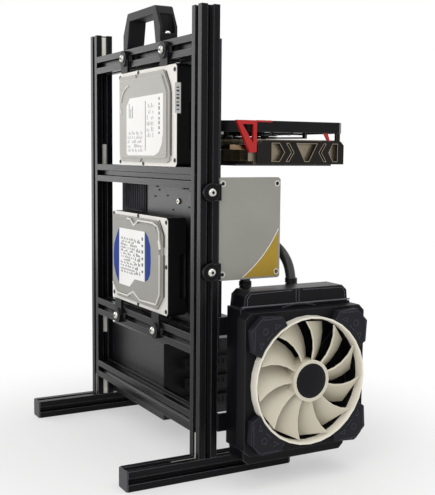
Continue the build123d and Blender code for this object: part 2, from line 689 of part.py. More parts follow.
# Brackets that join the radiator and the power supply to the frame, and the lower board clips
with BuildPart() as mount_brackets:
    for z in radiator_bracket_rows:
        low_high = (z - RADIATOR_BRACKET_HEIGHT / 2, z + RADIATOR_BRACKET_HEIGHT / 2)
        block((NEAR_X - PROFILE / 2 + 1, radiator_back), (BACK_FACE, BACK_FACE + COOLER_STANDOFF), low_high)
        block((OUTER_FACE, radiator_back), (BACK_FACE, cooler_y - RADIATOR_WIDTH / 2 + 14), low_high)
        rod((NEAR_X, BACK_FACE, z), (0, 1, 0), SCREW_HOLE_RADIUS, COOLER_STANDOFF, mode=Mode.SUBTRACT)
    for x in board_columns:
        block((x - CLIP_WIDTH / 2, x + CLIP_WIDTH / 2), (BACK_FACE, BACK_FACE + CLIP_THICKNESS),
              (RAIL_BOARD_HEIGHT - CLIP_WIDTH / 2, lower_row + CLIP_WIDTH / 2))
        rod((x, BACK_FACE, RAIL_BOARD_HEIGHT), (0, 1, 0), SCREW_HOLE_RADIUS, CLIP_THICKNESS,
            mode=Mode.SUBTRACT)
    for z in psu_bracket_rows:
        rows = (z - PSU_BRACKET_HEIGHT / 2, z + PSU_BRACKET_HEIGHT / 2)
        block((FAR_X - PROFILE / 2 + 1, psu_far), (BACK_FACE, BACK_FACE + PSU_BRACKET), rows)
        block((psu_far - PSU_BRACKET, psu_far), (BACK_FACE, BACK_FACE + PSU_BRACKET_REACH), rows)
        rod((FAR_X, BACK_FACE, z), (0, 1, 0), SCREW_HOLE_RADIUS, PSU_BRACKET, mode=Mode.SUBTRACT)
save(mount_brackets, "mount_brackets")

# Cooler fan
fan_back = radiator_front
fan_front = fan_back + FAN_THICKNESS
fan_y = cooler_y + FAN_SHIFT
fan_z = COOLER_Z - FAN_DROP
fan_axis = Plane(origin=(fan_back, fan_y, fan_z), x_dir=(0, 1, 0), z_dir=(1, 0, 0))
ring_inner = FAN_RING_RADIUS - FAN_RING_WALL


def motor_seat(plane, radius, depth):
    """The motor base with the bearing that carries a rotor's shaft."""
    start = tuple(plane.origin)
    along = tuple(plane.z_dir)
    bore_start = tuple(plane.origin + plane.z_dir * BEARING_FLOOR)
    rod(start, along, radius, depth, sides=BOSS_SIDES)
    rod(start, along, SHAFT_RADIUS + BEARING_WALL, depth + BEARING_LENGTH, sides=HEAD_SIDES)
    rod(bore_start, along, SHAFT_RADIUS + SHAFT_CLEARANCE, depth + BEARING_LENGTH, sides=SHAFT_SIDES,
        mode=Mode.SUBTRACT)


with BuildPart() as fan_frame:
    with BuildSketch(side_plane(fan_back)):
        with Locations((fan_y, fan_z)):
            cut_rectangle(FAN_SIDE, FAN_SIDE, FAN_CORNER / 2)
            RegularPolygon(ring_inner, RING_SIDES, mode=Mode.SUBTRACT)
    extrude(amount=FAN_BODY)
    with BuildSketch(side_plane(fan_back)):
        with Locations((fan_y, fan_z)):
            with PolarLocations(0, FAN_SPOKES, start_angle=45):
                with Locations((ring_inner / 2 + 1, 0)):
                    Rectangle(ring_inner, 6)
    extrude(amount=FAN_PLATE)
    motor_seat(fan_axis, FAN_HUB_RADIUS - 1, FAN_PLATE)
save(fan_frame, "fan_frame")

with BuildPart() as fan_ring:
    with BuildSketch(side_plane(fan_back + FAN_BODY)):
        with Locations((fan_y, fan_z)):
            RegularPolygon(FAN_RING_RADIUS, RING_SIDES)
            RegularPolygon(ring_inner, RING_SIDES, mode=Mode.SUBTRACT)
    extrude(amount=FAN_THICKNESS - FAN_BODY)
    for x, radius in ((fan_front, ring_inner + FAN_RING_LIP), (fan_front - 3 * FAN_RING_LIP, ring_inner)):
        with BuildSketch(side_plane(x)):
            with Locations((fan_y, fan_z)):
                RegularPolygon(radius, RING_SIDES)
    loft(ruled=True, mode=Mode.SUBTRACT)
save(fan_ring, "fan_ring")

with BuildPart() as fan_corner_pads:
    with BuildSketch(side_plane(fan_back + FAN_BODY)):
        with Locations((fan_y, fan_z)):
            with PolarLocations(0, 4, start_angle=45):
                reach = FAN_SIDE / 2
                diagonal = reach * 2 ** 0.5
                Polygon((diagonal - FAN_CORNER, 9), (diagonal - 28, 23), (diagonal - 40, 20),
                        (diagonal - 40, -20), (diagonal - 28, -23), (diagonal - FAN_CORNER, -9), align=None)
            RegularPolygon(FAN_RING_RADIUS + 0.1, RING_SIDES, mode=Mode.SUBTRACT)
    extrude(amount=FAN_THICKNESS - FAN_BODY - 1)
save(fan_corner_pads, "fan_corner_pads")


def blade_section(radius, angle, pitch, chord, height):
    """The corners of one thin section of a blade, square to the radius at an angle round the hub."""
    turn = radians(angle)
    lean = radians(pitch)
    outward = Vector(cos(turn), sin(turn), 0)
    centre = outward * radius + Vector(0, 0, height)
    along = Vector(-sin(turn) * cos(lean), cos(turn) * cos(lean), sin(lean))
    edge = along * (chord / 2)
    skin = outward.cross(along) * (BLADE_THICKNESS / 2)
    return [centre - edge - skin, centre + edge - skin, centre + edge + skin, centre - edge + skin]


def rotor(hub_radius, hub_depth, tip_radius, blades, root, tip, sweep, steps, sides=BOSS_SIDES):
    """A fan rotor about Z: a cup hub, its shaft and twisted blades. root and tip are (chord, pitch)."""
    inner = hub_radius - HUB_WALL / 2
    sections = []
    for i in range(steps + 1):
        share = i / steps
        chord = root[0] + share * (tip[0] - root[0])
        pitch = root[1] + share * (tip[1] - root[1])
        radius = inner + share * (tip_radius - inner)
        sections.append(blade_section(radius, sweep * share ** 1.5, pitch, chord, hub_depth / 2))
    with BuildPart() as wheel:
        with PolarLocations(0, blades):
            add(faceted_solid(sections))
        rod((0, 0, 0), (0, 0, 1), hub_radius, hub_depth, sides=sides)
        rod((0, 0, 0), (0, 0, 1), hub_radius - HUB_WALL, hub_depth - HUB_WALL, sides=sides,
            mode=Mode.SUBTRACT)
        rod((0, 0, -SHAFT_TAIL), (0, 0, 1), SHAFT_RADIUS, hub_depth + SHAFT_TAIL - HUB_WALL / 2,
            sides=SHAFT_SIDES)
    return wheel


tip_radius = ring_inner - FAN_TIP_GAP
cooler_rotor = rotor(FAN_HUB_RADIUS, FAN_THICKNESS - FAN_PLATE - RUNNING_GAP - 0.5, tip_radius - 2.2,
                     FAN_BLADES, (18, 46), (33, 29), 16, 4, sides=ROUND_SIDES)
with BuildPart() as fan_rotor:
    with Locations(Plane(origin=(fan_back + FAN_PLATE + RUNNING_GAP, fan_y, fan_z),
                         x_dir=(0, 1, 0), z_dir=(1, 0, 0))):
        add(cooler_rotor.part)
    with BuildSketch(side_plane(fan_front - 0.5)):
        with Locations((fan_y, fan_z)):
            RegularPolygon(FAN_DISC_RADIUS, ROUND_SIDES)
    extrude(amount=-0.6, mode=Mode.SUBTRACT)
save(fan_rotor, "fan_rotor")


def hose_route(start, end, shape):
    """The corners of a hose's route between its two fittings."""
    across = Vector(end) - Vector(start)
    corners = [(start[0] + across.X * x, start[1] + across.Y * y, start[2] + across.Z * x + lift)
               for x, y, lift in shape]
    return [start] + corners + [end]


fitting_top = RADIATOR_BASE + RADIATOR_LENGTH - FITTING_RISE
port_x = FRAME_X + PUMP_PORT_X
port_y = FRAME_Y + PUMP_PORT_Y
route_right = hose_route((FRAME_X + FITTING_X, FRAME_Y + HOSE_RIGHT_Y, fitting_top),
                         (port_x, port_y, PUMP_Z + HOSE_RIGHT_PORT), HOSE_RIGHT_SHAPE)
route_left = hose_route((FRAME_X + FITTING_X, FRAME_Y + HOSE_LEFT_Y, fitting_top),
                        (port_x, port_y, PUMP_Z + HOSE_LEFT_PORT), HOSE_LEFT_SHAPE)


def bend_radii(points):
    """The largest even bend at each corner of a route."""
    radii = []
    for before, corner, after in zip(points, points[1:], points[2:]):
        run_in = Vector(corner) - Vector(before)
        run_out = Vector(after) - Vector(corner)
        shorter = min(run_in.length, run_out.length)
        radii.append(0.45 * shorter / tan(radians(run_in.get_angle(run_out) / 2)))
    return radii


def hose(route):
    """A hose along straight runs joined by tangent arcs."""
    radii = bend_radii(route)
    print("hose bend radii", [round(radius, 1) for radius in radii])
    with BuildLine() as path:
        FilletPolyline(*route, radius=radii)
    rings = []
    for i in range(HOSE_STEPS + 1):
        centre = path.wire() @ (i / HOSE_STEPS)
        along = path.wire() % (i / HOSE_STEPS)
        across = Vector(0, 1, 0).cross(along).normalized() * (HOSE_DIAMETER / 2)
        angles = [360 / HOSE_SIDES * k for k in range(HOSE_SIDES)]
        rings.append([centre + across.rotate(Axis((0, 0, 0), tuple(along)), angle) for angle in angles])
    with BuildPart() as tube:
        add(faceted_solid(rings))
    print("hose length", round(path.wire().length, 1))
    return tube


save(hose(route_left), "hose_left")
save(hose(route_right), "hose_right")

port_length = PUMP_PORT_X - FITTING_COLLAR / 2 - PUMP_X - PUMP_RADIUS + FITTING_RADIUS
tank_port_z = RADIATOR_BASE + RADIATOR_LENGTH - RADIATOR_TANK / 2
with BuildPart() as hose_fittings:
    for route in (route_left, route_right):
        start = Vector(route[0])
        leave = (Vector(route[1]) - start).normalized()
        rod((start.X, start.Y, tank_port_z), (1, 0, 0), FITTING_NECK, radiator_back - start.X,
            sides=HEAD_SIDES)
        rod((start.X, start.Y, tank_port_z - FITTING_RADIUS), (0, 0, 1), FITTING_BODY,
            fitting_top - tank_port_z + FITTING_RADIUS - FITTING_COLLAR / 2, sides=HEAD_SIDES)
        rod(tuple(start - leave * FITTING_COLLAR), tuple(leave), FITTING_RADIUS, FITTING_COLLAR,
            sides=HEAD_SIDES)
        end = Vector(route[-1])
        arrive = (end - Vector(route[-2])).normalized()
        rod(tuple(end), tuple(arrive), FITTING_RADIUS, FITTING_COLLAR, sides=HEAD_SIDES)
        rod((end.X - FITTING_COLLAR / 2, end.Y, end.Z), (-1, 0, 0), FITTING_NECK, port_length,
            sides=HEAD_SIDES)
save(hose_fittings, "hose_fittings")

# Pump on the processor
pump_x = FRAME_X + PUMP_X
pump_seat = board_front + PUMP_BASE_THICKNESS
pump_front = FRAME_Y + PUMP_FRONT
with BuildPart() as pump_base:
    with BuildSketch(front_plane(pump_seat)):
        with Locations((pump_x, PUMP_Z)):
            with PolarLocations(0, 2, start_angle=45):
                cut_rectangle(PUMP_FRAME_SPAN + 10, 14, 4)
            RegularPolygon(PUMP_RADIUS - 3, ROUND_SIDES)
            with PolarLocations(PUMP_FRAME_SPAN / 2, 4, start_angle=45):
                RegularPolygon(2, SMALL_SIDES, mode=Mode.SUBTRACT)
    extrude(amount=2.5)
    with BuildSketch(front_plane(pump_seat - 2.5)):
        with Locations((pump_x, PUMP_Z)):
            cut_rectangle(48, 48, 4)
    extrude(amount=PUMP_BASE_THICKNESS - 2.5)
save(pump_base, "pump_base")

with BuildPart() as pump_head:
    pump_edge = pump_front - PUMP_EDGE
    rod((pump_x, pump_seat, PUMP_Z), (0, 1, 0), PUMP_RADIUS, pump_edge - pump_seat, sides=ROUND_SIDES)
    rod((pump_x, pump_edge, PUMP_Z), (0, 1, 0), PUMP_RADIUS, PUMP_EDGE, sides=ROUND_SIDES, taper=45)
    for route in (route_left, route_right):
        end = route[-1]
        rod((end[0] - FITTING_COLLAR / 2, end[1], end[2]), (-1, 0, 0), FITTING_NECK, port_length,
            sides=HEAD_SIDES, mode=Mode.SUBTRACT)
save(pump_head, "pump_head")

# Main board
board_holes = [(board_far + BOARD_REAR_MARGIN + i * BOARD_COLUMN_PITCH, z) for i in range(2)
               for z in (lower_row, RAIL_DRIVE_HEIGHT, RAIL_TOP_HEIGHT)]
with BuildPart() as motherboard:
    with BuildSketch(front_plane(board_front)):
        with Locations(((board_far + board_near) / 2, (board_base + board_top) / 2)):
            Rectangle(BOARD_DEPTH, BOARD_LENGTH)
        with Locations(*board_holes):
            RegularPolygon(SMALL_SCREW_RADIUS + 0.3, SMALL_SIDES, mode=Mode.SUBTRACT)
    extrude(amount=BOARD_THICKNESS)
save(motherboard, "motherboard")

with BuildPart() as cpu_backplate:
    with BuildSketch(front_plane(board_back)):
        with Locations((pump_x, PUMP_Z)):
            cut_rectangle(PUMP_FRAME_SPAN + 12, PUMP_FRAME_SPAN + 12, 12)
            RegularPolygon(18, ROUND_SIDES, mode=Mode.SUBTRACT)
    extrude(amount=2.2)
save(cpu_backplate, "cpu_backplate")

with BuildPart() as board_standoffs:
    for x, z in board_holes:
        seat = BACK_FACE + (CLIP_THICKNESS if z == lower_row else -SLOT_LIP)
        with BuildSketch(front_plane(board_back)):
            with Locations((x, z)):
                RegularPolygon(STANDOFF_RADIUS, 6)
        extrude(amount=board_back - seat)
save(board_standoffs, "board_standoffs")

with BuildPart() as small_screws:
    for x, z in board_holes:
        rod((x, board_front, z), (0, 1, 0), SMALL_HEAD_RADIUS, SMALL_HEAD_HEIGHT)
        rod((x, board_front, z), (0, -1, 0), SMALL_SCREW_RADIUS, BOARD_THICKNESS)
    for holes, seat, upward in ((upper_holes, upper_top, 1), (lower_holes, lower_base, -1)):
        for x in holes:
            rod((x, drive_hole_y, seat + upward * BRACKET_FLANGE), (0, 0, upward),
                SMALL_HEAD_RADIUS, SMALL_HEAD_HEIGHT)
            rod((x, drive_hole_y, seat + upward * BRACKET_FLANGE), (0, 0, -upward),
                SMALL_SCREW_RADIUS, BRACKET_FLANGE + DRIVE_HOLE_DEPTH - 1)
save(small_screws, "small_screws")

with BuildPart() as io_block:
    ports = [(0, 20, 30), (24, 28, 16), (55, 18, 30), (76, 15, 28), (94, 15, 28), (112, 30, 30)]
    for offset_z, length, height in ports:
        low = board_base + 22 + offset_z
        block((board_far - 4, board_far + 24), (board_front, board_front + height), (low, low + length))
        block((board_far - 4, board_far - 1), (board_front + 3, board_front + height - 3),
              (low + 3, low + length - 3), mode=Mode.SUBTRACT)
save(io_block, "io_block")

memory_rows = [FRAME_X + MEMORY_START + i * MEMORY_PITCH for i in range(MEMORY_COUNT)]
memory_span = (MEMORY_BASE, MEMORY_BASE + MEMORY_LENGTH)
with BuildPart() as memory_sockets:
    for x in memory_rows:
        half = MEMORY_SOCKET_WIDTH / 2
        block((x - half, x + half), (board_front, board_front + MEMORY_SOCKET_HEIGHT),
              (memory_span[0] - 5, memory_span[1] + 5))
        block((x - MODULE_THICKNESS / 2, x + MODULE_THICKNESS / 2),
              (board_front + 3, board_front + MEMORY_SOCKET_HEIGHT), memory_span, mode=Mode.SUBTRACT)
save(memory_sockets, "memory_sockets")

with BuildPart() as memory_modules:
    for x in memory_rows[1::2]:
        block((x - MODULE_THICKNESS / 2, x + MODULE_THICKNESS / 2),
              (board_front + 3, board_front + 3 + MODULE_HEIGHT), memory_span)
save(memory_modules, "memory_modules")

card_slot_z = CARD_BASE + CARD_BOARD / 2
card_far = FRAME_X + CARD_NEAR - CARD_LENGTH
card_near = FRAME_X + CARD_NEAR
card_front = FRAME_Y + CARD_FRONT
card_back = FRAME_Y + CARD_BACK
card_top = CARD_BASE + CARD_HEIGHT
finger = (card_far + 48, card_far + 132)
with BuildPart() as expansion_sockets:
    half = SLOT_SOCKET_WIDTH / 2
    for step, length in ((0, 90), (3, 90), (4, 25)):
        z = card_slot_z + step * SLOT_PITCH
        block((finger[0] - 3, finger[0] - 3 + length), (board_front, board_front + SLOT_SOCKET_HEIGHT),
              (z - half, z + half))
        block((finger[0] - 0.5, finger[0] - 5.5 + length),
              (board_front + 2, board_front + SLOT_SOCKET_HEIGHT),
              (z - CARD_BOARD / 2, z + CARD_BOARD / 2), mode=Mode.SUBTRACT)
save(expansion_sockets, "expansion_sockets")

with BuildPart() as board_heatsinks:
    sinks = (((-58, 16), (board_base + 6, board_base + 24), 24), ((-76, -60), (165, 242), 24),
             ((52, 96), (board_top - 70, board_top - 28), 7))
    for span, rise, height in sinks:
        block((FRAME_X + span[0], FRAME_X + span[1]), (board_front, board_front + height), rise)
        if height > 10:
            count = 5
            along_x = span[1] - span[0] > rise[1] - rise[0]
            for i in range(1, count):
                if along_x:
                    cut_z = rise[0] + (rise[1] - rise[0]) * i / count
                    block((FRAME_X + span[0] - 1, FRAME_X + span[1] + 1),
                          (board_front + 8, board_front + height + 1),
                          (cut_z - 0.9, cut_z + 0.9), mode=Mode.SUBTRACT)
                else:
                    cut_x = FRAME_X + span[0] + (span[1] - span[0]) * i / count
                    block((cut_x - 0.9, cut_x + 0.9), (board_front + 8, board_front + height + 1),
                          (rise[0] - 1, rise[1] + 1), mode=Mode.SUBTRACT)
save(board_heatsinks, "board_heatsinks")

with BuildPart() as board_sockets:
    block((board_near - 12, board_near - 2), (board_front, board_front + 13), (212, 264))
    block((FRAME_X - 84, FRAME_X - 64), (board_front, board_front + 13), (board_base + 3, board_base + 13))
    for i in range(3):
        block((board_near - 34, board_near - 21), (board_front, board_front + 6),
              (board_top - 72 + 22 * i, board_top - 55 + 22 * i))
save(board_sockets, "board_sockets")

# Graphics card
fin_top = CARD_BASE + CARD_FIN_TOP
skirt_base = card_top - CARD_SKIRT
card_middle_y = (card_front + card_back) / 2 + 6
fan_centres = [card_near - 60 - CARD_FAN_PITCH * i for i in range(2)]
fan_floor = fin_top + 1.5
with BuildPart() as gpu_board:
    block((card_far, card_near - 8), (card_front + 8, card_back - 12), (CARD_BASE, CARD_BASE + CARD_BOARD))
    block((finger[0], finger[1]), (board_front + 3, card_front + 8), (CARD_BASE, CARD_BASE + CARD_BOARD))
save(gpu_board, "gpu_board")

with BuildPart() as gpu_fin_stack:
    stack_far = card_far + 16
    stack_near = card_near - CARD_PLATE - 2
    stack_span = (card_front + CARD_FIN_INSET, card_back - 4)
    block((stack_far, stack_near), (card_front + 26, card_back - 14),
          (CARD_BASE + CARD_BOARD, CARD_BASE + CARD_BOARD + 4))
    fin_pitch = (stack_near - stack_far - 1) / (CARD_FIN_COUNT - 1)
    for i in range(CARD_FIN_COUNT):
        x = stack_far + i * fin_pitch
        block((x, x + 1), stack_span, (CARD_BASE + CARD_BOARD + 3, fin_top))
save(gpu_fin_stack, "gpu_fin_stack")

with BuildPart() as gpu_heat_pipes:
    pipe_base = CARD_BASE + CARD_FIN_TOP - 4 * PIPE_RADIUS
    fin_front_y = card_front + CARD_FIN_INSET
    for i in range(3):
        y = fin_front_y - PIPE_RADIUS - i * PIPE_PITCH
        pipe_near = card_near - 10 - (2 - i) * PIPE_PITCH
        with BuildSketch(Plane.XY.offset(pipe_base)):
            with BuildLine():
                if i == 0:
                    Line((pipe_near - 60, y), (pipe_near + PIPE_RADIUS - PIPE_PITCH / 2, y))
                else:
                    Polyline((pipe_near - 60, y), (pipe_near - PIPE_RADIUS, y),
                             (pipe_near, y + PIPE_RADIUS), (pipe_near, fin_front_y))
            trace(line_width=2 * PIPE_RADIUS)
        extrude(amount=2 * PIPE_RADIUS)
save(gpu_heat_pipes, "gpu_heat_pipes")

with BuildPart() as gpu_shroud:
    with BuildSketch(Plane.XY.offset(skirt_base)) as shroud_plan:
        with BuildLine():
            Polyline((card_far, card_front), (card_near - 22, card_front), (card_near, card_front + 26),
                     (card_near, card_back - 8), (card_near - 8, card_back), (card_far, card_back),
                     close=True)
        make_face()
    extrude(amount=CARD_SKIRT)
    with BuildSketch(Plane.XY.offset(skirt_base)):
        add(shroud_plan.sketch)
        offset(amount=-CARD_SHEET, kind=Kind.INTERSECTION, mode=Mode.REPLACE)
    extrude(amount=CARD_SKIRT - CARD_SHEET, mode=Mode.SUBTRACT)
    with BuildSketch(Plane.XY.offset(card_top - CARD_SHEET)):
        with Locations(*[(x, card_middle_y) for x in fan_centres]):
            RegularPolygon(CARD_FAN_RADIUS + 1.5, RING_SIDES)
    extrude(amount=CARD_SHEET, mode=Mode.SUBTRACT)
    for x in fan_centres:
        motor_seat(Plane(origin=(x, card_middle_y, fan_floor)), CARD_HUB_RADIUS - 1, 2)
        with BuildSketch(Plane.XY.offset(fan_floor)):
            with Locations((x, card_middle_y)):
                with PolarLocations(0, 3, start_angle=30):
                    with Locations(((CARD_FAN_RADIUS + 4) / 2 + 3, 0)):
                        Rectangle(CARD_FAN_RADIUS - 2, 4)
        extrude(amount=1.6)
        with BuildSketch(Plane.XY.offset(fan_floor)):
            with Locations((x, card_middle_y)):
                with PolarLocations(CARD_FAN_RADIUS + 3.5, 3, start_angle=30):
                    Rectangle(3, 5)
        extrude(amount=card_top - CARD_SHEET - fan_floor)
    block((card_near - CARD_TRIM, card_near + 1), (card_front - 1, card_front + CARD_TRIM_WIDTH),
          (skirt_base - 1, card_top + 1), mode=Mode.SUBTRACT)
save(gpu_shroud, "gpu_shroud")

card_rotor = rotor(CARD_HUB_RADIUS, card_top - 1 - fan_floor - 2 - RUNNING_GAP, CARD_FAN_RADIUS - 2,
                   CARD_FAN_BLADES, (9, 50), (16, 34), 18, 2)
for name, x in zip(("gpu_fan_near", "gpu_fan_far"), fan_centres):
    with BuildPart() as card_fan:
        with Locations((x, card_middle_y, fan_floor + 2 + RUNNING_GAP)):
            add(card_rotor.part)
    save(card_fan, name)

with BuildPart() as gpu_end_plate:
    plate_low = CARD_BASE + CARD_BOARD
    plate_high = fin_top - 1
    plate_mid = (plate_low + plate_high) / 2
    plate_start = card_front + 28
    with BuildSketch(side_plane(card_near - CARD_PLATE)):
        Polygon((plate_start, plate_low), (card_back - 2, plate_low), (card_back - 2, plate_high - 4),
                (card_back - 6, plate_high), (plate_start + 6, plate_high), (plate_start, plate_high - 4),
                align=None)
        for start, corners in CARD_PLATE_CUTS:
            with Locations((card_front + start, plate_mid)):
                Polygon(*corners, align=None, mode=Mode.SUBTRACT)
    extrude(amount=CARD_PLATE)
    block((card_near - CARD_PLATE, card_near), (card_back - 12, card_back - 7), (plate_high - 1, skirt_base))
save(gpu_end_plate, "gpu_end_plate")

with BuildPart() as gpu_trim:
    with BuildSketch(side_plane(card_near - CARD_TRIM)):
        with BuildLine():
            Polyline((card_front + 4, card_top), (card_front + CARD_TRIM_WIDTH, card_top),
                     (card_front + CARD_TRIM_WIDTH, CARD_BASE + 13),
                     (card_front + 19, CARD_BASE + 13), close=True)
        make_face()
        with BuildLine():
            Polyline((card_front + 11, card_top - 4), (card_front + 23, card_top - 4),
                     (card_front + 23, card_top - 22), close=True)
        make_face(mode=Mode.SUBTRACT)
    extrude(amount=CARD_TRIM)
save(gpu_trim, "gpu_trim")

with BuildPart() as gpu_bracket:
    bracket_x = card_far - BRACKET_SHEET
    with BuildSketch(side_plane(bracket_x)):
        with Locations(((card_front + card_back) / 2 - 2, CARD_BASE + 16)):
            Rectangle(118, 38)
            with Locations((10, 8)):
                with GridLocations(9, 0, 7, 1):
                    Rectangle(5, 14, mode=Mode.SUBTRACT)
    extrude(amount=BRACKET_SHEET)
save(gpu_bracket, "gpu_bracket")

# Power supply
inlet_y = psu_front + INLET_OFFSET
inlet_z = PSU_BASE + INLET_HEIGHT
switch_y = inlet_y
switch_z = PSU_BASE + SWITCH_HEIGHT
switch_pivot = psu_far + SWITCH_DEPTH
with BuildPart() as psu_case:
    with BuildSketch(front_plane(psu_back - PSU_SHEET)):
        with Locations(((psu_far + psu_near) / 2, PSU_BASE)):
            Rectangle(PSU_DEPTH, PSU_HEIGHT - PSU_SHEET, align=(Align.CENTER, Align.MIN))
            with Locations((0, PSU_SHEET)):
                Rectangle(PSU_DEPTH - 2 * PSU_SHEET, PSU_HEIGHT, align=(Align.CENTER, Align.MIN),
                          mode=Mode.SUBTRACT)
    extrude(amount=PSU_WIDTH - 2 * PSU_SHEET)
    with BuildSketch(side_plane(psu_far)):
        with Locations((inlet_y, inlet_z)):
            Rectangle(27, 20)
        with Locations((switch_y, switch_z)):
            Rectangle(SWITCH_WIDTH + 1, 13)
        with Locations((psu_front + 45, PSU_BASE + PSU_HEIGHT / 2)):
            with GridLocations(20, 20, 3, 3):
                RegularPolygon(8.4, 6)
    extrude(amount=PSU_SHEET, mode=Mode.SUBTRACT)
save(psu_case, "psu_case")

psu_fan_x = (psu_far + psu_near) / 2
psu_fan_y = (psu_front + psu_back) / 2
with BuildPart() as psu_cover:
    with BuildSketch(side_plane(psu_far)):
        with Locations(((psu_front + psu_back) / 2, psu_top)):
            Rectangle(PSU_WIDTH, PSU_HEIGHT, align=(Align.CENTER, Align.MAX))
            with Locations((0, -PSU_SHEET)):
                Rectangle(PSU_WIDTH - 2 * PSU_SHEET, PSU_HEIGHT, align=(Align.CENTER, Align.MAX),
                          mode=Mode.SUBTRACT)
    extrude(amount=PSU_DEPTH)
    with BuildSketch(Plane.XY.offset(psu_top - PSU_SHEET)):
        with Locations((psu_fan_x, psu_fan_y)):
            grille_step = (PSU_FAN_SIDE / 2 - 5 - 14) / PSU_GRILLE_RINGS
            for i in range(PSU_GRILLE_RINGS, 0, -1):
                RegularPolygon(14 + i * grille_step, BOSS_SIDES)
                RegularPolygon(14 + (i - 1) * grille_step + PSU_RING_WIDTH, BOSS_SIDES, mode=Mode.SUBTRACT)
            with PolarLocations(0, 2, start_angle=45):
                Rectangle(PSU_FAN_SIDE, 4, mode=Mode.SUBTRACT)
    extrude(amount=PSU_SHEET, mode=Mode.SUBTRACT)
save(psu_cover, "psu_cover")

psu_fan_base = psu_top - PSU_SHEET - PSU_FAN_DEPTH
with BuildPart() as psu_fan_frame:
    with BuildSketch(Plane.XY.offset(psu_fan_base)):
        with Locations((psu_fan_x, psu_fan_y)):
            cut_rectangle(PSU_FAN_SIDE, PSU_FAN_SIDE, 6)
            RegularPolygon(PSU_FAN_SIDE / 2 - 2, RING_SIDES, mode=Mode.SUBTRACT)
    extrude(amount=PSU_FAN_DEPTH)
    with BuildSketch(Plane.XY.offset(psu_fan_base)):
        with Locations((psu_fan_x, psu_fan_y)):
            with PolarLocations(0, 4, start_angle=45):
                with Locations((PSU_FAN_SIDE / 4, 0)):
                    Rectangle(PSU_FAN_SIDE / 2 - 1, 5)
    extrude(amount=3)
    motor_seat(Plane(origin=(psu_fan_x, psu_fan_y, psu_fan_base)), 19, 4)
save(psu_fan_frame, "psu_fan_frame")

supply_rotor = rotor(20, PSU_FAN_DEPTH - 4 - RUNNING_GAP - 2, PSU_FAN_SIDE / 2 - 5.2, PSU_FAN_BLADES,
                     (15, 50), (24, 34), 12, 2)
with BuildPart() as psu_fan:
    with Locations((psu_fan_x, psu_fan_y, psu_fan_base + 4 + RUNNING_GAP)):
        add(supply_rotor.part)
save(psu_fan, "psu_fan")

with BuildPart() as psu_sockets:
    block((psu_far - 1.5, psu_far), (inlet_y - 24, inlet_y + 24), (inlet_z - 13, inlet_z + 13))
    block((psu_far, psu_far + 20), (inlet_y - 13.5, inlet_y + 13.5), (inlet_z - 10, inlet_z + 10))
    block((psu_far - 2, psu_far + 15), (inlet_y - 12, inlet_y + 12), (inlet_z - 8, inlet_z + 8),
          mode=Mode.SUBTRACT)
    for y in (-7, 0, 7):
        block((psu_far + 6, psu_far + 18), (inlet_y + y - 1, inlet_y + y + 1), (inlet_z - 3, inlet_z + 3))
    housing = (switch_y - SWITCH_WIDTH / 2 - 3, switch_y + SWITCH_WIDTH / 2 + 3)
    block((psu_far + PSU_SHEET, psu_far + 13), housing, (switch_z - 9, switch_z + 9))
    block((psu_far, psu_far + 12), (switch_y - SWITCH_WIDTH / 2 - 0.5, switch_y + SWITCH_WIDTH / 2 + 0.5),
          (switch_z - 6.5, switch_z + 6.5), mode=Mode.SUBTRACT)
    rod((switch_pivot, switch_y - SWITCH_PIN / 2 - 0.3, switch_z), (0, 1, 0),
        SWITCH_PIN_RADIUS + SHAFT_CLEARANCE, SWITCH_PIN + 0.6, sides=SHAFT_SIDES, mode=Mode.SUBTRACT)
    for row in range(3):
        for column in range(3):
            low_y = psu_front + 22 + column * 38
            low_z = PSU_BASE + 12 + row * 22
            block((psu_near, psu_near + 9), (low_y, low_y + 27), (low_z, low_z + 12))
save(psu_sockets, "psu_sockets")

rocker_turn = radians(SWITCH_ANGLE)
rocker_plane = Plane(origin=(switch_pivot, switch_y, switch_z),
                     x_dir=(cos(rocker_turn), 0, sin(rocker_turn)), z_dir=(0, -1, 0))
with BuildPart() as psu_switch:
    with BuildSketch(rocker_plane):
        Polygon((-6.4, 5.6), (-5.0, 0), (-6.4, -5.6), (-1, -5.6), (3.4, -2.4), (3.4, 2.4), (-1, 5.6),
                align=None)
    extrude(amount=SWITCH_WIDTH / 2, both=True)
    rod((switch_pivot, switch_y - SWITCH_PIN / 2, switch_z), (0, 1, 0), SWITCH_PIN_RADIUS, SWITCH_PIN,
        sides=SHAFT_SIDES)
save(psu_switch, "psu_switch")
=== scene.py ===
import math

import bmesh
import bpy
from mathutils import Matrix, Vector


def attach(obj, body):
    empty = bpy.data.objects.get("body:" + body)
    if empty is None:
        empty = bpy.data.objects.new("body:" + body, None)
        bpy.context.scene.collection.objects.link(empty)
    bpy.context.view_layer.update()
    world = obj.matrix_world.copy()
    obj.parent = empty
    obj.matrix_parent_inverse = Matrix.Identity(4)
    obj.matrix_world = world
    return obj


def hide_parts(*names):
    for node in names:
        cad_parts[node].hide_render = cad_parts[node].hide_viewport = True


# Open air test bench: finishes, hoses, fasteners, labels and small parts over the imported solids.
# Pieces are drawn in millimetres in the part's frame and scaled to metres as they are finished.

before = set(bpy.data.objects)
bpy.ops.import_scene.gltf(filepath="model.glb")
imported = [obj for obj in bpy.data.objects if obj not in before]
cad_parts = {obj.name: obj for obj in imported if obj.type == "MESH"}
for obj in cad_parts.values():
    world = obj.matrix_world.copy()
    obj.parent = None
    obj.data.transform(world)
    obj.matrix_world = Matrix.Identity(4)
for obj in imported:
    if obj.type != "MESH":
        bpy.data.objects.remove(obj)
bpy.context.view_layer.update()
scene = bpy.context.scene
MM = 0.001
PER_METRE = 1000

# Sockets of a colour Mix node, by number because its names repeat for each kind of data
MIX_SHARE, MIX_FIRST, MIX_SECOND = 0, 6, 7
MIX_COLOUR = 2

# Width in millimetres of the slow change of colour over a surface
BROAD_PATCH = 45


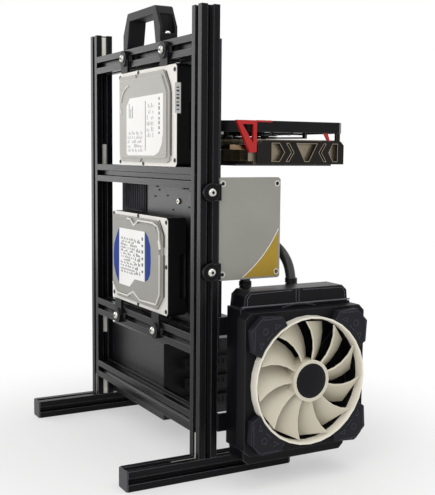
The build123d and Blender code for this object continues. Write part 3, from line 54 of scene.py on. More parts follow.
def colour(code):
    """Linear colour from an sRGB hex value."""
    shares = [int(code[i:i + 2], 16) / 255 for i in (0, 2, 4)]
    return [s / 12.92 if s <= 0.04045 else ((s + 0.055) / 1.055) ** 2.4 for s in shares] + [1.0]


def add(tree, kind, inputs=None, stops=None, **settings):
    """One shader node with its settings, its links or values, and the stops of a ramp."""
    node = tree.nodes.new(kind)
    for key, value in settings.items():
        setattr(node, key, value)
    for key, value in (inputs or {}).items():
        if isinstance(value, bpy.types.NodeSocket):
            tree.links.new(value, node.inputs[key])
        else:
            node.inputs[key].default_value = value
    if stops:
        ramp = node.color_ramp.elements
        while len(ramp) < len(stops):
            ramp.new(0.5)
        for element, (place, code) in zip(ramp, stops):
            element.position = place
            element.color = colour(code)
    return node


def finish(name, code, rough, metal=0.0, ior=1.5, sheen=0.5):
    """A new material with its shader's plain values, and its Object coordinates."""
    material = bpy.data.materials.new(name)
    material.use_nodes = True
    tree = material.node_tree
    shader = tree.nodes["Principled BSDF"]
    shader.inputs["Base Color"].default_value = colour(code)
    shader.inputs["Roughness"].default_value = rough
    shader.inputs["Metallic"].default_value = metal
    shader.inputs["IOR"].default_value = ior
    shader.inputs["Specular IOR Level"].default_value = sheen
    where = add(tree, "ShaderNodeTexCoord").outputs["Object"]
    return material, tree, shader, where


def textured(name, code, worn, rough, grain, depth, metal=0.0, ior=1.5, stretch=(1, 1, 1),
             spread=0.08, sheen=0.5, edge_highlight=None, highlight_width=0.8):
    """A finish whose colour, gloss and relief vary with a grain of a real size in millimetres.

    A paler colour along the edges, over a width in millimetres, is a painted highlight where they
    would catch the light.
    """
    material, tree, shader, where = finish(name, code, rough, metal, ior, sheen)
    drawn = add(tree, "ShaderNodeMapping", {"Vector": where, "Scale": stretch}).outputs["Vector"]
    fine = add(tree, "ShaderNodeTexNoise", {
        "Vector": drawn, "Scale": PER_METRE / grain, "Detail": 3}).outputs["Fac"]
    broad = add(tree, "ShaderNodeTexNoise", {
        "Vector": where, "Scale": PER_METRE / BROAD_PATCH, "Detail": 4}).outputs["Fac"]
    tint = add(tree, "ShaderNodeValToRGB", {"Fac": broad},
               stops=[(0.3, code), (0.75, worn)]).outputs["Color"]
    if edge_highlight:
        # Painted highlight: a paler colour where the rounded normal turns from the true one, along
        # the edges
        rounded = add(tree, "ShaderNodeBevel", {"Radius": highlight_width * MM}).outputs["Normal"]
        square = add(tree, "ShaderNodeNewGeometry").outputs["True Normal"]
        match = add(tree, "ShaderNodeVectorMath", {0: rounded, 1: square},
                    operation="DOT_PRODUCT").outputs["Value"]
        edge = add(tree, "ShaderNodeMapRange", {
            "Value": match, "From Min": 0.86, "From Max": 0.985, "To Min": 1, "To Max": 0,
        }).outputs["Result"]
        tint = add(tree, "ShaderNodeMix", {
            MIX_SHARE: edge, MIX_FIRST: tint, MIX_SECOND: colour(edge_highlight),
        }, data_type="RGBA").outputs[MIX_COLOUR]
    gloss = add(tree, "ShaderNodeMapRange", {
        "Value": fine, "From Min": 0.3, "From Max": 0.7,
        "To Min": rough - spread, "To Max": rough + spread,
    }).outputs["Result"]
    relief = add(tree, "ShaderNodeBump", {
        "Height": fine, "Strength": 0.5, "Distance": depth * MM}).outputs["Normal"]
    tree.links.new(tint, shader.inputs["Base Color"])
    tree.links.new(gloss, shader.inputs["Roughness"])
    tree.links.new(relief, shader.inputs["Normal"])
    return material


# Where a finish below has a paler edge colour, that colour is a painted highlight along its edges.
# Anodised aluminium, extruded: satin black with faint die lines along the bar's length.
# The real die lines are about 0.1 mm apart and are drawn at 0.5 mm so that they show.
profile_black = {
    axis: textured(
        f"anodised_aluminium_along_{axis}", "0c0c0e", "111114", 0.27, 0.5, 0.02,
        stretch=stretch, spread=0.06, sheen=0.12, edge_highlight="77777b")
    for axis, stretch in (("x", (0.01, 1, 1)), ("y", (1, 0.01, 1)), ("z", (1, 1, 0.01)))
}
# Moulded nylon: matt black with a spark-eroded grain of about 0.4 mm.
moulded_nylon = textured(
    "moulded_nylon_black", "111113", "17171a", 0.5, 0.4, 0.03, sheen=0.16, edge_highlight="3a3a3e")
# Moulded nylon, painted lighter: the end caps, a lit copy of the handle's black.
lit_cap_nylon = textured("moulded_nylon_painted_lighter", "434347", "4a4a4e", 0.5, 0.4, 0.03, sheen=0.2)
# Powder coat on steel: black with a soft orange peel about 0.8 mm wide.
powder_coat = textured(
    "powder_coated_steel_black", "0c0c0e", "121215", 0.42, 0.8, 0.03, sheen=0.1, edge_highlight="5a5a5f")
# Zinc plated steel: dull pale grey with cloudy patches of 1 mm.
zinc_plate = textured("zinc_plated_steel", "bdbab2", "a9a59a", 0.34, 1.0, 0.01, metal=1.0)
# Zinc casting, painted near white: pale warm grey corner connectors, a painted highlight in the
# slots.
highlight_casting = textured(
    "zinc_die_casting_painted_highlight", "efece3", "e2ded2", 0.4, 0.8, 0.01, metal=0.1)
# Stainless steel, turned: bright, with fine tool marks.
bright_steel = textured("stainless_steel_turned", "d2d0cb", "c2bfb8", 0.2, 0.35, 0.01, metal=1.0)
# Tinned sheet steel: pale and a little streaked.
tinned_steel = textured("tinned_sheet_steel", "b4b4b2", "a2a2a0", 0.3, 0.6, 0.01, metal=1.0)
# Pressed aluminium: a satin warm grey cover with a fine rolled grain.
pressed_cover = textured(
    "pressed_aluminium_satin", "a6a49d", "9c9a93", 0.5, 0.5, 0.015, metal=0.15,
    stretch=(0.12, 1, 1), edge_highlight="dddbd5")
# Pressed aluminium, darker: the lower cover, a more even grey under the ribs' painted highlight.
dull_cover = textured(
    "pressed_aluminium_dull", "918f89", "898781", 0.52, 0.5, 0.015, metal=0.15,
    stretch=(0.12, 1, 1), edge_highlight="d2d0ca")
# Die cast aluminium, bare: pale grey with a shot-blast grain of 0.5 mm; on the cover ribs it is a
# painted highlight.
bare_casting_and_highlight = textured(
    "die_cast_aluminium_bare_and_highlight", "d6d3cc", "c8c5bd", 0.42, 0.5, 0.03, metal=0.2)
# Bead blasted aluminium: an even warm grey with a very fine grain, drawn at 0.3 mm.
blasted_shell = textured(
    "bead_blasted_aluminium", "97968e", "908f87", 0.48, 0.3, 0.012, metal=0.25, edge_highlight="bdbcb4")
# Satin paint on brass tanks: smooth black with slight waviness 4 mm wide.
satin_paint = textured(
    "satin_painted_brass_black", "0b0b0e", "111114", 0.32, 4.0, 0.006, spread=0.03, sheen=0.12,
    edge_highlight="5e5e64", highlight_width=1.2)
# Satin paint, grey: the pump's cap and ring, and painted highlights, grey lines where the tank's
# rolled edges would catch the light.
grey_paint_and_highlight = textured(
    "satin_paint_grey_and_highlight", "4c4c52", "66666c", 0.36, 3.0, 0.02, sheen=0.4)
# Painted fins: matt black, so that the core reads as a deep shadow.
painted_fin = textured(
    "painted_aluminium_fin_black", "0a0a0c", "101012", 0.55, 0.8, 0.03, sheen=0.2)
# Glass-filled plastic: dark, with a slightly mottled skin of 0.7 mm.
glass_filled = textured(
    "glass_filled_plastic_black", "0e0e11", "151518", 0.44, 0.7, 0.03, sheen=0.12,
    edge_highlight="46464b", highlight_width=1.0)
# Moulded ABS, cream: semi-gloss with very slight sink waves 6 mm wide.
cream_abs = textured(
    "moulded_abs_cream", "d3ccb9", "cbc4b0", 0.34, 6.0, 0.03, ior=1.54, spread=0.04,
    edge_highlight="f4efe2", highlight_width=0.9)
# Moulded ABS, cream, painted lighter: the fan's ring, a lit copy of the blades' cream.
lit_cream_abs = textured(
    "moulded_abs_cream_painted_lighter", "f1ecdf", "ebe5d6", 0.34, 6.0, 0.03, ior=1.54, spread=0.04)
# Rubber, moulded: matt and slightly bloomed, with a 0.6 mm grain.
soft_rubber = textured(
    "moulded_rubber_black", "17171c", "1f1f25", 0.56, 0.6, 0.03, ior=1.52, sheen=0.15,
    edge_highlight="4a4a54", highlight_width=0.9)
# Extruded rubber hose: smooth, dark grey with a low sheen.
hose_rubber = textured("extruded_rubber_hose", "2b2b2e", "38383b", 0.4, 1.2, 0.02, ior=1.52)
# Gloss black plastic: the pump and shroud skins, nearly flat.
gloss_black = textured(
    "moulded_pc_gloss_black", "0e0e10", "141416", 0.28, 5.0, 0.0015, ior=1.58, spread=0.012,
    sheen=0.1, edge_highlight="48484c")
# Connector plastic: plain moulded black with a low sheen.
connector_plastic = textured(
    "moulded_pbt_black", "141416", "1b1b1d", 0.46, 0.5, 0.02, sheen=0.22)
# Dark anodised heat sink: dark satin metal with soft highlights.
dark_heatsink = textured(
    "anodised_aluminium_dark", "2d2d31", "37373b", 0.38, 0.6, 0.015, metal=0.6)
# Bare fins with a warm lacquer: brownish metal that glints, as on the card's cooler.
warm_fin = textured(
    "lacquered_aluminium_fin", "8f8472", "7c705d", 0.36, 0.6, 0.01, metal=0.8,
    stretch=(1, 1, 0.1))
# Nickel plated copper pipes: warm and bright.
plated_pipe = textured("nickel_plated_copper", "8d7860", "7a6650", 0.24, 0.8, 0.006, metal=1.0)
# Painted end plate of the card: dark brown-black, with a painted highlight along its cut edges.
dark_plate = textured(
    "painted_steel_dark", "141311", "1b1917", 0.42, 0.7, 0.02, sheen=0.14, edge_highlight="4a4740")
# Glossy fan plastic of the card: dark, with the sharp highlights of a moulded blade.
blade_gloss = textured(
    "moulded_pbt_gloss_smoke", "26262a", "2f2f33", 0.16, 5.0, 0.01, ior=1.58, spread=0.03)
# Red ABS trim: gloss, with slight sink waves.
red_abs = textured(
    "moulded_abs_red", "b81c1a", "a51817", 0.28, 5.0, 0.02, ior=1.54, spread=0.04, sheen=0.3)
# Power supply case: black powder coat with a coarser texture of 1.2 mm.
supply_coat = textured(
    "textured_powder_coat_black", "141417", "1b1b1e", 0.44, 1.2, 0.06, sheen=0.35,
    edge_highlight="3c3c40")
# Label paper, coated: white and even.
label_paper = textured("coated_label_paper", "f0efec", "e9e8e4", 0.5, 0.4, 0.005, spread=0.04)
# Screen ink, grey: the soft dark marks on the labels.
grey_ink = textured("screen_ink_grey", "58585c", "4a4a4e", 0.55, 0.4, 0.005, spread=0.04)
# Screen ink, blue: the flat side bands on the lower label.
blue_ink = textured(
    "screen_ink_blue", "123a94", "0d2c78", 0.6, 0.4, 0.005, spread=0.04, sheen=0.1)
# Screen ink, ochre: the slightly uneven corner field on the solid-state drive.
ochre_ink = textured(
    "screen_ink_ochre", "b3902c", "a08a34", 0.5, 2.2, 0.008, spread=0.05, sheen=0.3)
# Moulded connector plastic, blue: the bright tongues in the ports.
tongue_blue = textured("moulded_pbt_blue", "2a5cab", "234f96", 0.42, 0.6, 0.01, spread=0.04)
# Moulded connector plastic, grey: the pale latches of the sockets and rings of the jacks.
latch_grey = textured("moulded_pbt_grey", "7c7c7e", "6c6c6e", 0.45, 0.6, 0.01, spread=0.04)
# Gold flashed pins: thin warm metal.
gold_pin = textured("gold_flashed_brass", "c9a45a", "b8924a", 0.25, 0.5, 0.004, metal=1.0)
# Black oxide on steel: small dull screws; the same dark is painted shade inside the openings.
oxide_and_painted_shade = textured("black_oxide_steel_and_painted_shade", "101011", "18181a", 0.5, 0.5, 0.01, metal=0.4)


def circuit_finish(name, mask, trace):
    """Solder mask over copper: straight tracks at right angles, with joints 5.5 mm apart."""
    material, tree, shader, where = finish(name, mask, 0.36, sheen=0.3)
    upright = add(tree, "ShaderNodeMapping", {
        "Vector": where, "Rotation": (math.pi / 2, 0, 0)}).outputs["Vector"]
    # Tracks are about 0.25 mm wide on the real board and are drawn at 0.8 mm
    lanes = add(tree, "ShaderNodeTexBrick", {
        "Vector": upright, "Scale": 1.0,
        "Brick Width": 31 * MM, "Row Height": 2.6 * MM, "Mortar Size": 0.4 * MM,
        "Color1": colour(mask), "Color2": colour(mask), "Mortar": colour(trace),
    }).outputs["Color"]
    patches = add(tree, "ShaderNodeTexNoise", {
        "Vector": where, "Scale": PER_METRE / 26, "Detail": 2}).outputs["Fac"]
    shown = add(tree, "ShaderNodeMapRange", {
        "Value": patches, "From Min": 0.48, "From Max": 0.53, "To Min": 0, "To Max": 1,
    }).outputs["Result"]
    tracks = add(tree, "ShaderNodeMix", {
        MIX_SHARE: shown, MIX_FIRST: colour(mask), MIX_SECOND: lanes,
    }, data_type="RGBA").outputs[MIX_COLOUR]
    dots = add(tree, "ShaderNodeTexVoronoi", {
        "Vector": where, "Scale": PER_METRE / 5.5, "Randomness": 0.7}).outputs["Distance"]
    joint = add(tree, "ShaderNodeMapRange", {
        "Value": dots, "From Min": 0.07, "From Max": 0.10, "To Min": 1, "To Max": 0,
    }).outputs["Result"]
    base = add(tree, "ShaderNodeMix", {
        MIX_SHARE: joint, MIX_FIRST: tracks, MIX_SECOND: colour("8a867d"),
    }, data_type="RGBA").outputs[MIX_COLOUR]
    relief = add(tree, "ShaderNodeBump", {
        "Height": joint, "Strength": 0.4, "Distance": 0.2 * MM}).outputs["Normal"]
    tree.links.new(base, shader.inputs["Base Color"])
    tree.links.new(joint, shader.inputs["Metallic"])
    tree.links.new(relief, shader.inputs["Normal"])
    return material


def drive_casting_finish(name, coat):
    """Die cast drive base: bare pale metal on the rim that faces the front, a coat elsewhere."""
    material, tree, shader, where = finish(name, coat, 0.42, sheen=0.25)
    normal = add(tree, "ShaderNodeTexCoord").outputs["Normal"]
    front = add(tree, "ShaderNodeSeparateXYZ", {"Vector": normal}).outputs["Y"]
    bare = add(tree, "ShaderNodeMapRange", {
        "Value": front, "From Min": -0.7, "From Max": -0.4, "To Min": 1, "To Max": 0,
    }).outputs["Result"]
    grain = add(tree, "ShaderNodeTexNoise", {
        "Vector": where, "Scale": PER_METRE / 0.6, "Detail": 3}).outputs["Fac"]
    metal_tint = add(tree, "ShaderNodeValToRGB", {"Fac": grain},
                     stops=[(0.3, "cbc8c1"), (0.7, "d9d6d0")]).outputs["Color"]
    base = add(tree, "ShaderNodeMix", {
        MIX_SHARE: bare, MIX_FIRST: colour(coat), MIX_SECOND: metal_tint,
    }, data_type="RGBA").outputs[MIX_COLOUR]
    glint = add(tree, "ShaderNodeMath", {0: bare, 1: 0.2}, operation="MULTIPLY").outputs[0]
    relief = add(tree, "ShaderNodeBump", {
        "Height": grain, "Strength": 0.4, "Distance": 0.03 * MM}).outputs["Normal"]
    tree.links.new(base, shader.inputs["Base Color"])
    tree.links.new(glint, shader.inputs["Metallic"])
    tree.links.new(relief, shader.inputs["Normal"])
    return material


# Black solder mask: glossy board with slightly lighter tracks and small bright joints.
solder_mask = circuit_finish("solder_mask_black", "2a2b2d", "35363a")
# Coated casting: black sides and a bright machined rim.
drive_casting = drive_casting_finish("die_cast_base_coated", "111113")

# The finish of each solid, and how wide its softened edges are in millimetres
solid_finishes = (
    (profile_black["z"], 0.35, ["upright_near", "upright_far"]),
    (profile_black["x"], 0.35, ["rail_top", "rail_drive", "rail_board", "rail_bottom"]),
    (profile_black["y"], 0.35, ["foot_near", "foot_far"]),
    (lit_cap_nylon, 0.4, ["foot_end_caps"]),
    (moulded_nylon, 1.2, ["carry_handle"]),
    (highlight_casting, 0.2, ["corner_connectors"]),
    (zinc_plate, 0.2, ["slot_nuts", "pump_base", "board_standoffs"]),
    (powder_coat, 0.4, ["upper_drive_brackets", "lower_drive_brackets", "ssd_brackets"]),
    (powder_coat, 0.2, ["mount_brackets"]),
    (bright_steel, 0.2, ["bracket_screws", "small_screws"]),
    (drive_casting, 0.4, ["upper_drive_base", "lower_drive_base"]),
    (pressed_cover, 0.15, ["upper_drive_cover"]),
    (dull_cover, 0.5, ["lower_drive_cover"]),
    (solder_mask, 0.1, ["drive_boards", "motherboard", "gpu_board"]),
    (blasted_shell, 0.4, ["ssd_base"]),
    (blasted_shell, 0.6, ["ssd_cover"]),
    (satin_paint, 0.8, ["radiator_frame"]),
    (painted_fin, 0.1, ["radiator_core"]),
    (glass_filled, 0.4, ["fan_frame"]),
    (glass_filled, 0.3, ["psu_fan_frame"]),
    (glass_filled, 0.2, ["psu_fan"]),
    (lit_cream_abs, 0.3, ["fan_ring"]),
    (cream_abs, 0.25, ["fan_rotor"]),
    (soft_rubber, 0.8, ["fan_corner_pads"]),
    (hose_rubber, 0.0, ["hose_left", "hose_right"]),
    (connector_plastic, 0.4, ["hose_fittings"]),
    (connector_plastic, 0.3, ["psu_sockets", "psu_switch"]),
    (connector_plastic, 0.2, ["memory_sockets", "expansion_sockets", "board_sockets"]),
    (gloss_black, 0.4, ["pump_head"]),
    (gloss_black, 0.5, ["gpu_shroud"]),
    (dark_heatsink, 0.2, ["cpu_backplate", "board_heatsinks"]),
    (dark_heatsink, 0.3, ["memory_modules"]),
    (tinned_steel, 0.2, ["io_block"]),
    (tinned_steel, 0.1, ["gpu_bracket"]),
    (warm_fin, 0.05, ["gpu_fin_stack"]),
    (plated_pipe, 0.8, ["gpu_heat_pipes"]),
    (blade_gloss, 0.2, ["gpu_fan_near", "gpu_fan_far"]),
    (dark_plate, 0.3, ["gpu_end_plate"]),
    (red_abs, 0.5, ["gpu_trim"]),
    (supply_coat, 0.15, ["psu_case", "psu_cover"]),
)


def soften(solid, material, edge):
    """Give a solid its finish, and modifiers that clean its flat faces and round its edges."""
    solid.data.materials.clear()
    solid.data.materials.append(material)
    solid.data.polygons.foreach_set("use_smooth", [True] * len(solid.data.polygons))
    weld = solid.modifiers.new("weld", "WELD")
    weld.merge_threshold = 0.002 * MM
    flat = solid.modifiers.new("flat_faces", "DECIMATE")
    flat.decimate_type = "DISSOLVE"
    flat.angle_limit = math.radians(0.5)
    if edge:
        soft = solid.modifiers.new("soft_edges", "BEVEL")
        soft.width = edge * MM
        soft.segments = 2
        soft.limit_method = "ANGLE"
        soft.angle_limit = math.radians(38)
        soft.use_clamp_overlap = True
        even = solid.modifiers.new("even_faces", "WEIGHTED_NORMAL")
        even.weight = 100
        even.keep_sharp = True


for material, edge, names in solid_finishes:
    for name in names:
        soften(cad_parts[name], material, edge)

# Edges sharper than this many degrees stay sharp on a piece
SHARP_ANGLE = 35
# A strip's corners are mitred up to this share of its width
MITRE_LIMIT = 0.45


def shape_of(bm):
    """A finished shape to stamp, from a bmesh."""
    shape = bpy.data.meshes.new("shape")
    bm.to_mesh(shape)
    bm.free()
    return shape


def stamp(bm, shape, place):
    """Add a copy of a finished shape to a bmesh at a place."""
    copy = shape.copy()
    copy.transform(place)
    bm.from_mesh(copy)
    bpy.data.meshes.remove(copy)


def block(bm, low, high, edge=0.2, segments=2):
    """A block between two corners with rounded edges."""
    size = Vector(high) - Vector(low)
    middle = (Vector(high) + Vector(low)) / 2
    made = bmesh.ops.create_cube(bm, size=1, matrix=Matrix.LocRotScale(middle, None, size))
    if edge:
        edges = list({e for v in made["verts"] for e in v.link_edges})
        bmesh.ops.bevel(bm, geom=edges, offset=edge, segments=segments, affect="EDGES",
                        profile=0.5, material=-1)


def turned(profile, steps=32):
    """A shape turned round Z from (radius, height) points."""
    bm = bmesh.new()
    points = [bm.verts.new((radius, 0, height)) for radius, height in profile]
    lines = [bm.edges.new(pair) for pair in zip(points, points[1:])]
    bmesh.ops.spin(bm, geom=points + lines, cent=(0, 0, 0), axis=(0, 0, 1), angle=2 * math.pi,
                   steps=steps, use_merge=True, use_duplicate=False)
    bmesh.ops.remove_doubles(bm, verts=bm.verts, dist=0.001)
    bmesh.ops.recalc_face_normals(bm, faces=bm.faces)
    return shape_of(bm)


def plate(outline, depth, edge=0.05):
    """A flat plate of an outline in X and Y, raised along Z."""
    bm = bmesh.new()
    face = bm.faces.new([bm.verts.new((x, y, 0)) for x, y in outline])
    raised = bmesh.ops.extrude_face_region(bm, geom=[face])
    top = [v for v in raised["geom"] if isinstance(v, bmesh.types.BMVert)]
    bmesh.ops.translate(bm, vec=(0, 0, depth), verts=top)
    bmesh.ops.recalc_face_normals(bm, faces=bm.faces)
    bmesh.ops.bevel(bm, geom=list(bm.edges), offset=edge, segments=1, affect="EDGES",
                    profile=0.5, material=-1)
    return shape_of(bm)


def strip(line, width):
    """The outline of a strip of even width along a line of points, mitred at its corners."""
    points = [Vector(point) for point in line]
    sides = []
    for i, point in enumerate(points):
        before = (point - points[i - 1]).normalized() if i else None
        after = (points[i + 1] - point).normalized() if i + 1 < len(points) else None
        along = ((before or after) + (after or before)).normalized()
        across = Vector((-along.y, along.x))
        square = Vector((-(after or before).y, (after or before).x))
        reach = width / 2 / max(MITRE_LIMIT, across.dot(square))
        sides.append((point + across * reach, point - across * reach))
    return [tuple(side[0]) for side in sides] + [tuple(side[1]) for side in reversed(sides)]


def arc(centre, radius, angles):
    """Points round a centre, at angles in degrees."""
    turns = [math.radians(angle) for angle in angles]
    return [(centre[0] + radius * math.cos(t), centre[1] + radius * math.sin(t)) for t in turns]


def facing(direction, point):
    """A placing matrix whose Z points one way: x, -x, y, -y or z."""
    turn = {
        "x": ((0, 0, 1), (1, 0, 0), (0, 1, 0)), "-x": ((0, 0, -1), (-1, 0, 0), (0, 1, 0)),
        "y": ((-1, 0, 0), (0, 0, 1), (0, 1, 0)), "-y": ((1, 0, 0), (0, 0, -1), (0, 1, 0)),
        "z": ((1, 0, 0), (0, 1, 0), (0, 0, 1)),
    }[direction]
    return Matrix.Translation(point) @ Matrix(turn).to_4x4()


def piece(name, bm, material, body="bench"):
    """Scale a bmesh from millimetres and set it on a body as a piece."""
    bmesh.ops.scale(bm, vec=(MM, MM, MM), verts=bm.verts)
    mesh = bpy.data.meshes.new(name)
    bm.to_mesh(mesh)
    bm.free()
    mesh.polygons.foreach_set("use_smooth", [True] * len(mesh.polygons))
    mesh.set_sharp_from_angle(angle=math.radians(SHARP_ANGLE))
    mesh.materials.append(material)
    made = bpy.data.objects.new(name, mesh)
    scene.collection.objects.link(made)
    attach(made, body)
    return made


def stamped(name, stamps, material, body="bench"):
    """A piece of finished shapes, from (shape, place) pairs."""
    bm = bmesh.new()
    for shape, place in stamps:
        stamp(bm, shape, place)
    return piece(name, bm, material, body)


def blocks(name, boxes, material, edge=0.15, segments=1):
    """A piece of rounded blocks, from pairs of corners."""
    bm = bmesh.new()
    for low, high in boxes:
        block(bm, low, high, edge, segments)
    return piece(name, bm, material)


# Camera at the photograph's place
camera = bpy.data.objects.new("camera", bpy.data.cameras.new("camera"))
scene.collection.objects.link(camera)
camera.data.lens = 65.12
camera.data.sensor_width = 36
camera.matrix_world = Matrix((
    (0.47962281, -0.09458299, 0.87236232, 0.871836),
    (0.87743429, 0.04214741, -0.47784167, -0.440939),
    (0.00842789, 0.99462438, 0.10320522, 0.317613),
    (0, 0, 0, 1),
))
camera.data.clip_start = 0.01
camera.data.clip_end = 100
scene.camera = camera

# Hoses between the radiator's fittings and the pump's ports, through the route's own points
hose_routes = {
    "hose_right": [
        (102, 68, 186), (99.94, 68, 200.06), (91.7, 65.85, 214.1), (78.31, 61.98, 224.89),
        (60.8, 55.96, 230.1), (44.32, 46.93, 229.88), (28.87, 37.04, 225.03),
        (15.48, 28.01, 220.32), (-1, 25, 219),
    ],
    "hose_left": [
        (102, 13, 186), (99.94, 13.96, 199), (91.7, 16, 210), (78.31, 19, 216),
        (61.83, 22, 215.5), (47.41, 24.52, 209), (30.93, 25.48, 202), (15.48, 25, 197.4),
        (-1, 25, 196),
    ],
}
HOSE_DIAMETER = 10.4
for node, route in hose_routes.items():
    line = bpy.data.curves.new("rubber_" + node, "CURVE")
    line.dimensions = "3D"
    spline = line.splines.new("NURBS")
    spline.points.add(len(route) - 1)
    for point, place in zip(spline.points, route):
        point.co = (*[value * MM for value in place], 1)
    spline.order_u = 3
    spline.use_endpoint_u = True
    spline.resolution_u = 16
    line.bevel_depth = HOSE_DIAMETER / 2 * MM
    line.bevel_resolution = 8
    line.use_fill_caps = True
    line.materials.append(hose_rubber)
    hose = bpy.data.objects.new("rubber_" + node, line)
    scene.collection.objects.link(hose)
    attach(hose, "bench")
    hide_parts(node)

# Planes that the pieces sit on, and the axis of the cooler's fan in Y and Z, in millimetres
FAN_AXIS = (47.5, 100.5)
FAN_FACE = 171
HUB_FACE = 170.92
TANK_FACE = 147
CARD_FACE = 123
SSD_FACE = 116.2
DRIVE_FACE = -52.0
DRIVE_RIM = -48.6
UPPER_COVER = -51.9
LOWER_COVER = -50.6
PRINT_FRONT = -52.17
PRINT_BACK = -52.1
BOARD_BACK = -20.0
BOARD_FACE = -18.4
SHELL_FACE = -142.0
BRACKET_FACE = -140.0
SUPPLY_FACE = -155
PUMP_FACE = 33.0


def button_head():
    """A button head screw with a hexagon socket, its seat on Z = 0."""
    top, socket_depth = 2.7, 1.5
    bm = bmesh.new()
    dome = [(0, 0), (4.3, 0), (4.3, 0.5), (4.0, 1.5), (3.3, 2.3), (2.4, top)]
    stamp(bm, turned(dome, steps=24), Matrix())
    mouth = [e for e in bm.edges if e.is_boundary]
    hexagon = bmesh.ops.create_circle(
        bm, segments=6, radius=1.6, matrix=Matrix.Translation((0, 0, top)))
    sides = list({e for v in hexagon["verts"] for e in v.link_edges})
    bmesh.ops.subdivide_edges(bm, edges=sides, cuts=3)
    socket = [e for e in bm.edges if e.is_wire]
    bmesh.ops.bridge_loops(bm, edges=mouth + socket)
    wall = [e for e in bm.edges if e.is_boundary]
    sunk = bmesh.ops.extrude_edge_only(bm, edges=wall)
    floor_points = [v for v in sunk["geom"] if isinstance(v, bmesh.types.BMVert)]
    bmesh.ops.translate(bm, vec=(0, 0, -socket_depth), verts=floor_points)
    bmesh.ops.holes_fill(bm, edges=[e for e in bm.edges if e.is_boundary])
    bmesh.ops.recalc_face_normals(bm, faces=bm.faces)
    return shape_of(bm)


# Button head screws in the brackets, handle and clips, in place of the plain solids
head = button_head()
screw_seats = [("-y", (x, DRIVE_FACE, 422)) for x in (-60.5, 41.1)]
screw_seats += [("-y", (x, DRIVE_FACE, 132)) for x in (-80.1, 21.5)]
screw_seats += [("x", (123, -37, z)) for z in (205.05, 281.65)]
screw_seats += [("z", (x, -37, 441)) for x in (-65.7, 22.7)]
screw_seats += [("y", (108, -25, z)) for z in (55, 151)]
screw_seats += [("y", (x, -25.5, 132)) for x in (-127.84, -3.38)]
screw_seats += [("y", (-162, -25.5, z)) for z in (51, 83)]
screws = stamped("button_head_screws", [(head, facing(*seat)) for seat in screw_seats],
                 bright_steel)
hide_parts("bracket_screws")

# Black disc in the fan's hub
hub_disc = turned([(0, 0), (17.1, 0), (17.1, 0.35), (16.6, 0.55), (0, 0.55)], steps=64)
stamped("hub_disc", [(hub_disc, facing("x", (HUB_FACE, *FAN_AXIS)))],
        glass_filled, body="cooler_rotor")

# Eyelets and ribs on the fan's corner pads, one set turned into each corner
eyelet = turned([(2.0, 0.05), (3.6, 0.0), (3.6, 0.3), (3.2, 0.55), (2.3, 0.55), (2.0, 0.3),
                 (2.0, 0.05)], steps=24)
pad_lines = (
    ([(84, 6.5), (70.5, 20)], 1.3), ([(84, -6.5), (70.5, -20)], 1.3),
    ([(68, 9), (66, 15), (71, 12), (68, 9)], 0.8),
    ([(68, -9), (71, -12), (66, -15), (68, -9)], 0.8),
    ([(67.5, -4), (67.5, 4)], 1.2),
)
stamps = []
for corner in range(4):
    turn = Matrix.Rotation(math.radians(45 + 90 * corner), 4, "Z")
    place = facing("x", (FAN_FACE, *FAN_AXIS)) @ turn
    stamps.append((eyelet, place @ Matrix.Translation((74.2, 0, 0))))
    stamps += [(plate(strip(line, width), 0.5, edge=0.2), place) for line, width in pad_lines]
stamped("pad_ribs", stamps, soft_rubber)

# Beads pressed into the radiator's upper tank: two down the middle, an arch over the fan and one
# along each upper edge. The tank's flange line is a painted highlight, a paler strip.
on_tank = facing("x", (TANK_FACE, 0, 0))
tank_lines = (
    ([(44.2, 171.6), (44.2, 186.8)], 1.3, 0.7), ([(47.8, 171.6), (47.8, 186.8)], 1.3, 0.7),
    (arc(FAN_AXIS, 72, range(106, 73, -2)), 1.5, 1.6),
    ([(-11, 174), (-11, 181), (-7.5, 185.5), (40, 186.3)], 0.8, 0.4),
    ([(52, 186.3), (99.5, 185.5), (103, 181), (103, 174)], 0.8, 0.4),
)
beads = [(plate(strip(line, width), high, edge=0.3), on_tank) for line, width, high in tank_lines]
stamped("tank_beads", beads, satin_paint)
flange = plate(strip([(-17.4, 173.2), (109.4, 173.2)], 1.5), 0.9, edge=0.3)
stamped("tank_flange_line", [(flange, on_tank)], grey_paint_and_highlight)

# Paper labels on the drives, and one on the upper drive's end
upper_label = [
    (-46, 316), (24, 316), (35, 319.5), (42, 328), (45, 339), (45, 379), (-40, 377.5),
    (-49, 369), (-49, 319),
]
lower_label = [(-71, 170.5), (-41, 170.5), (-27, 180.5), (-0.5, 181), (-0.5, 235), (-70, 234.5)]
on_drives = facing("-y", (0, DRIVE_FACE, 0))
bm = bmesh.new()
for outline in (upper_label, lower_label):
    stamp(bm, plate(outline, 0.12), on_drives)
block(bm, (69.6, -50.8, 358), (69.72, -44.2, 388), edge=0.03, segments=1)
piece("drive_labels", bm, label_paper)


def bar(bm, low, high):
    """A printed bar on a drive's label between two corners in X and Z."""
    block(bm, (low[0], PRINT_FRONT, low[1]), (high[0], PRINT_BACK, high[1]), edge=0)


def printed_bars(bm, low, high, pitch, weight, shift):
    """Rows of short bars like lines of small print, from a plain counting rule."""
    for i in range(int((high[0] - low[0]) / pitch[0])):
        for j in range(int((high[1] - low[1]) / pitch[1])):
            mark = (i * 7 + j * 13 + i * j * shift) % 11
            if mark < 8:
                x = low[0] + i * pitch[0]
                z = low[1] + j * pitch[1]
                bar(bm, (x, z), (x + weight, z + pitch[1] * (0.35 + 0.07 * mark)))


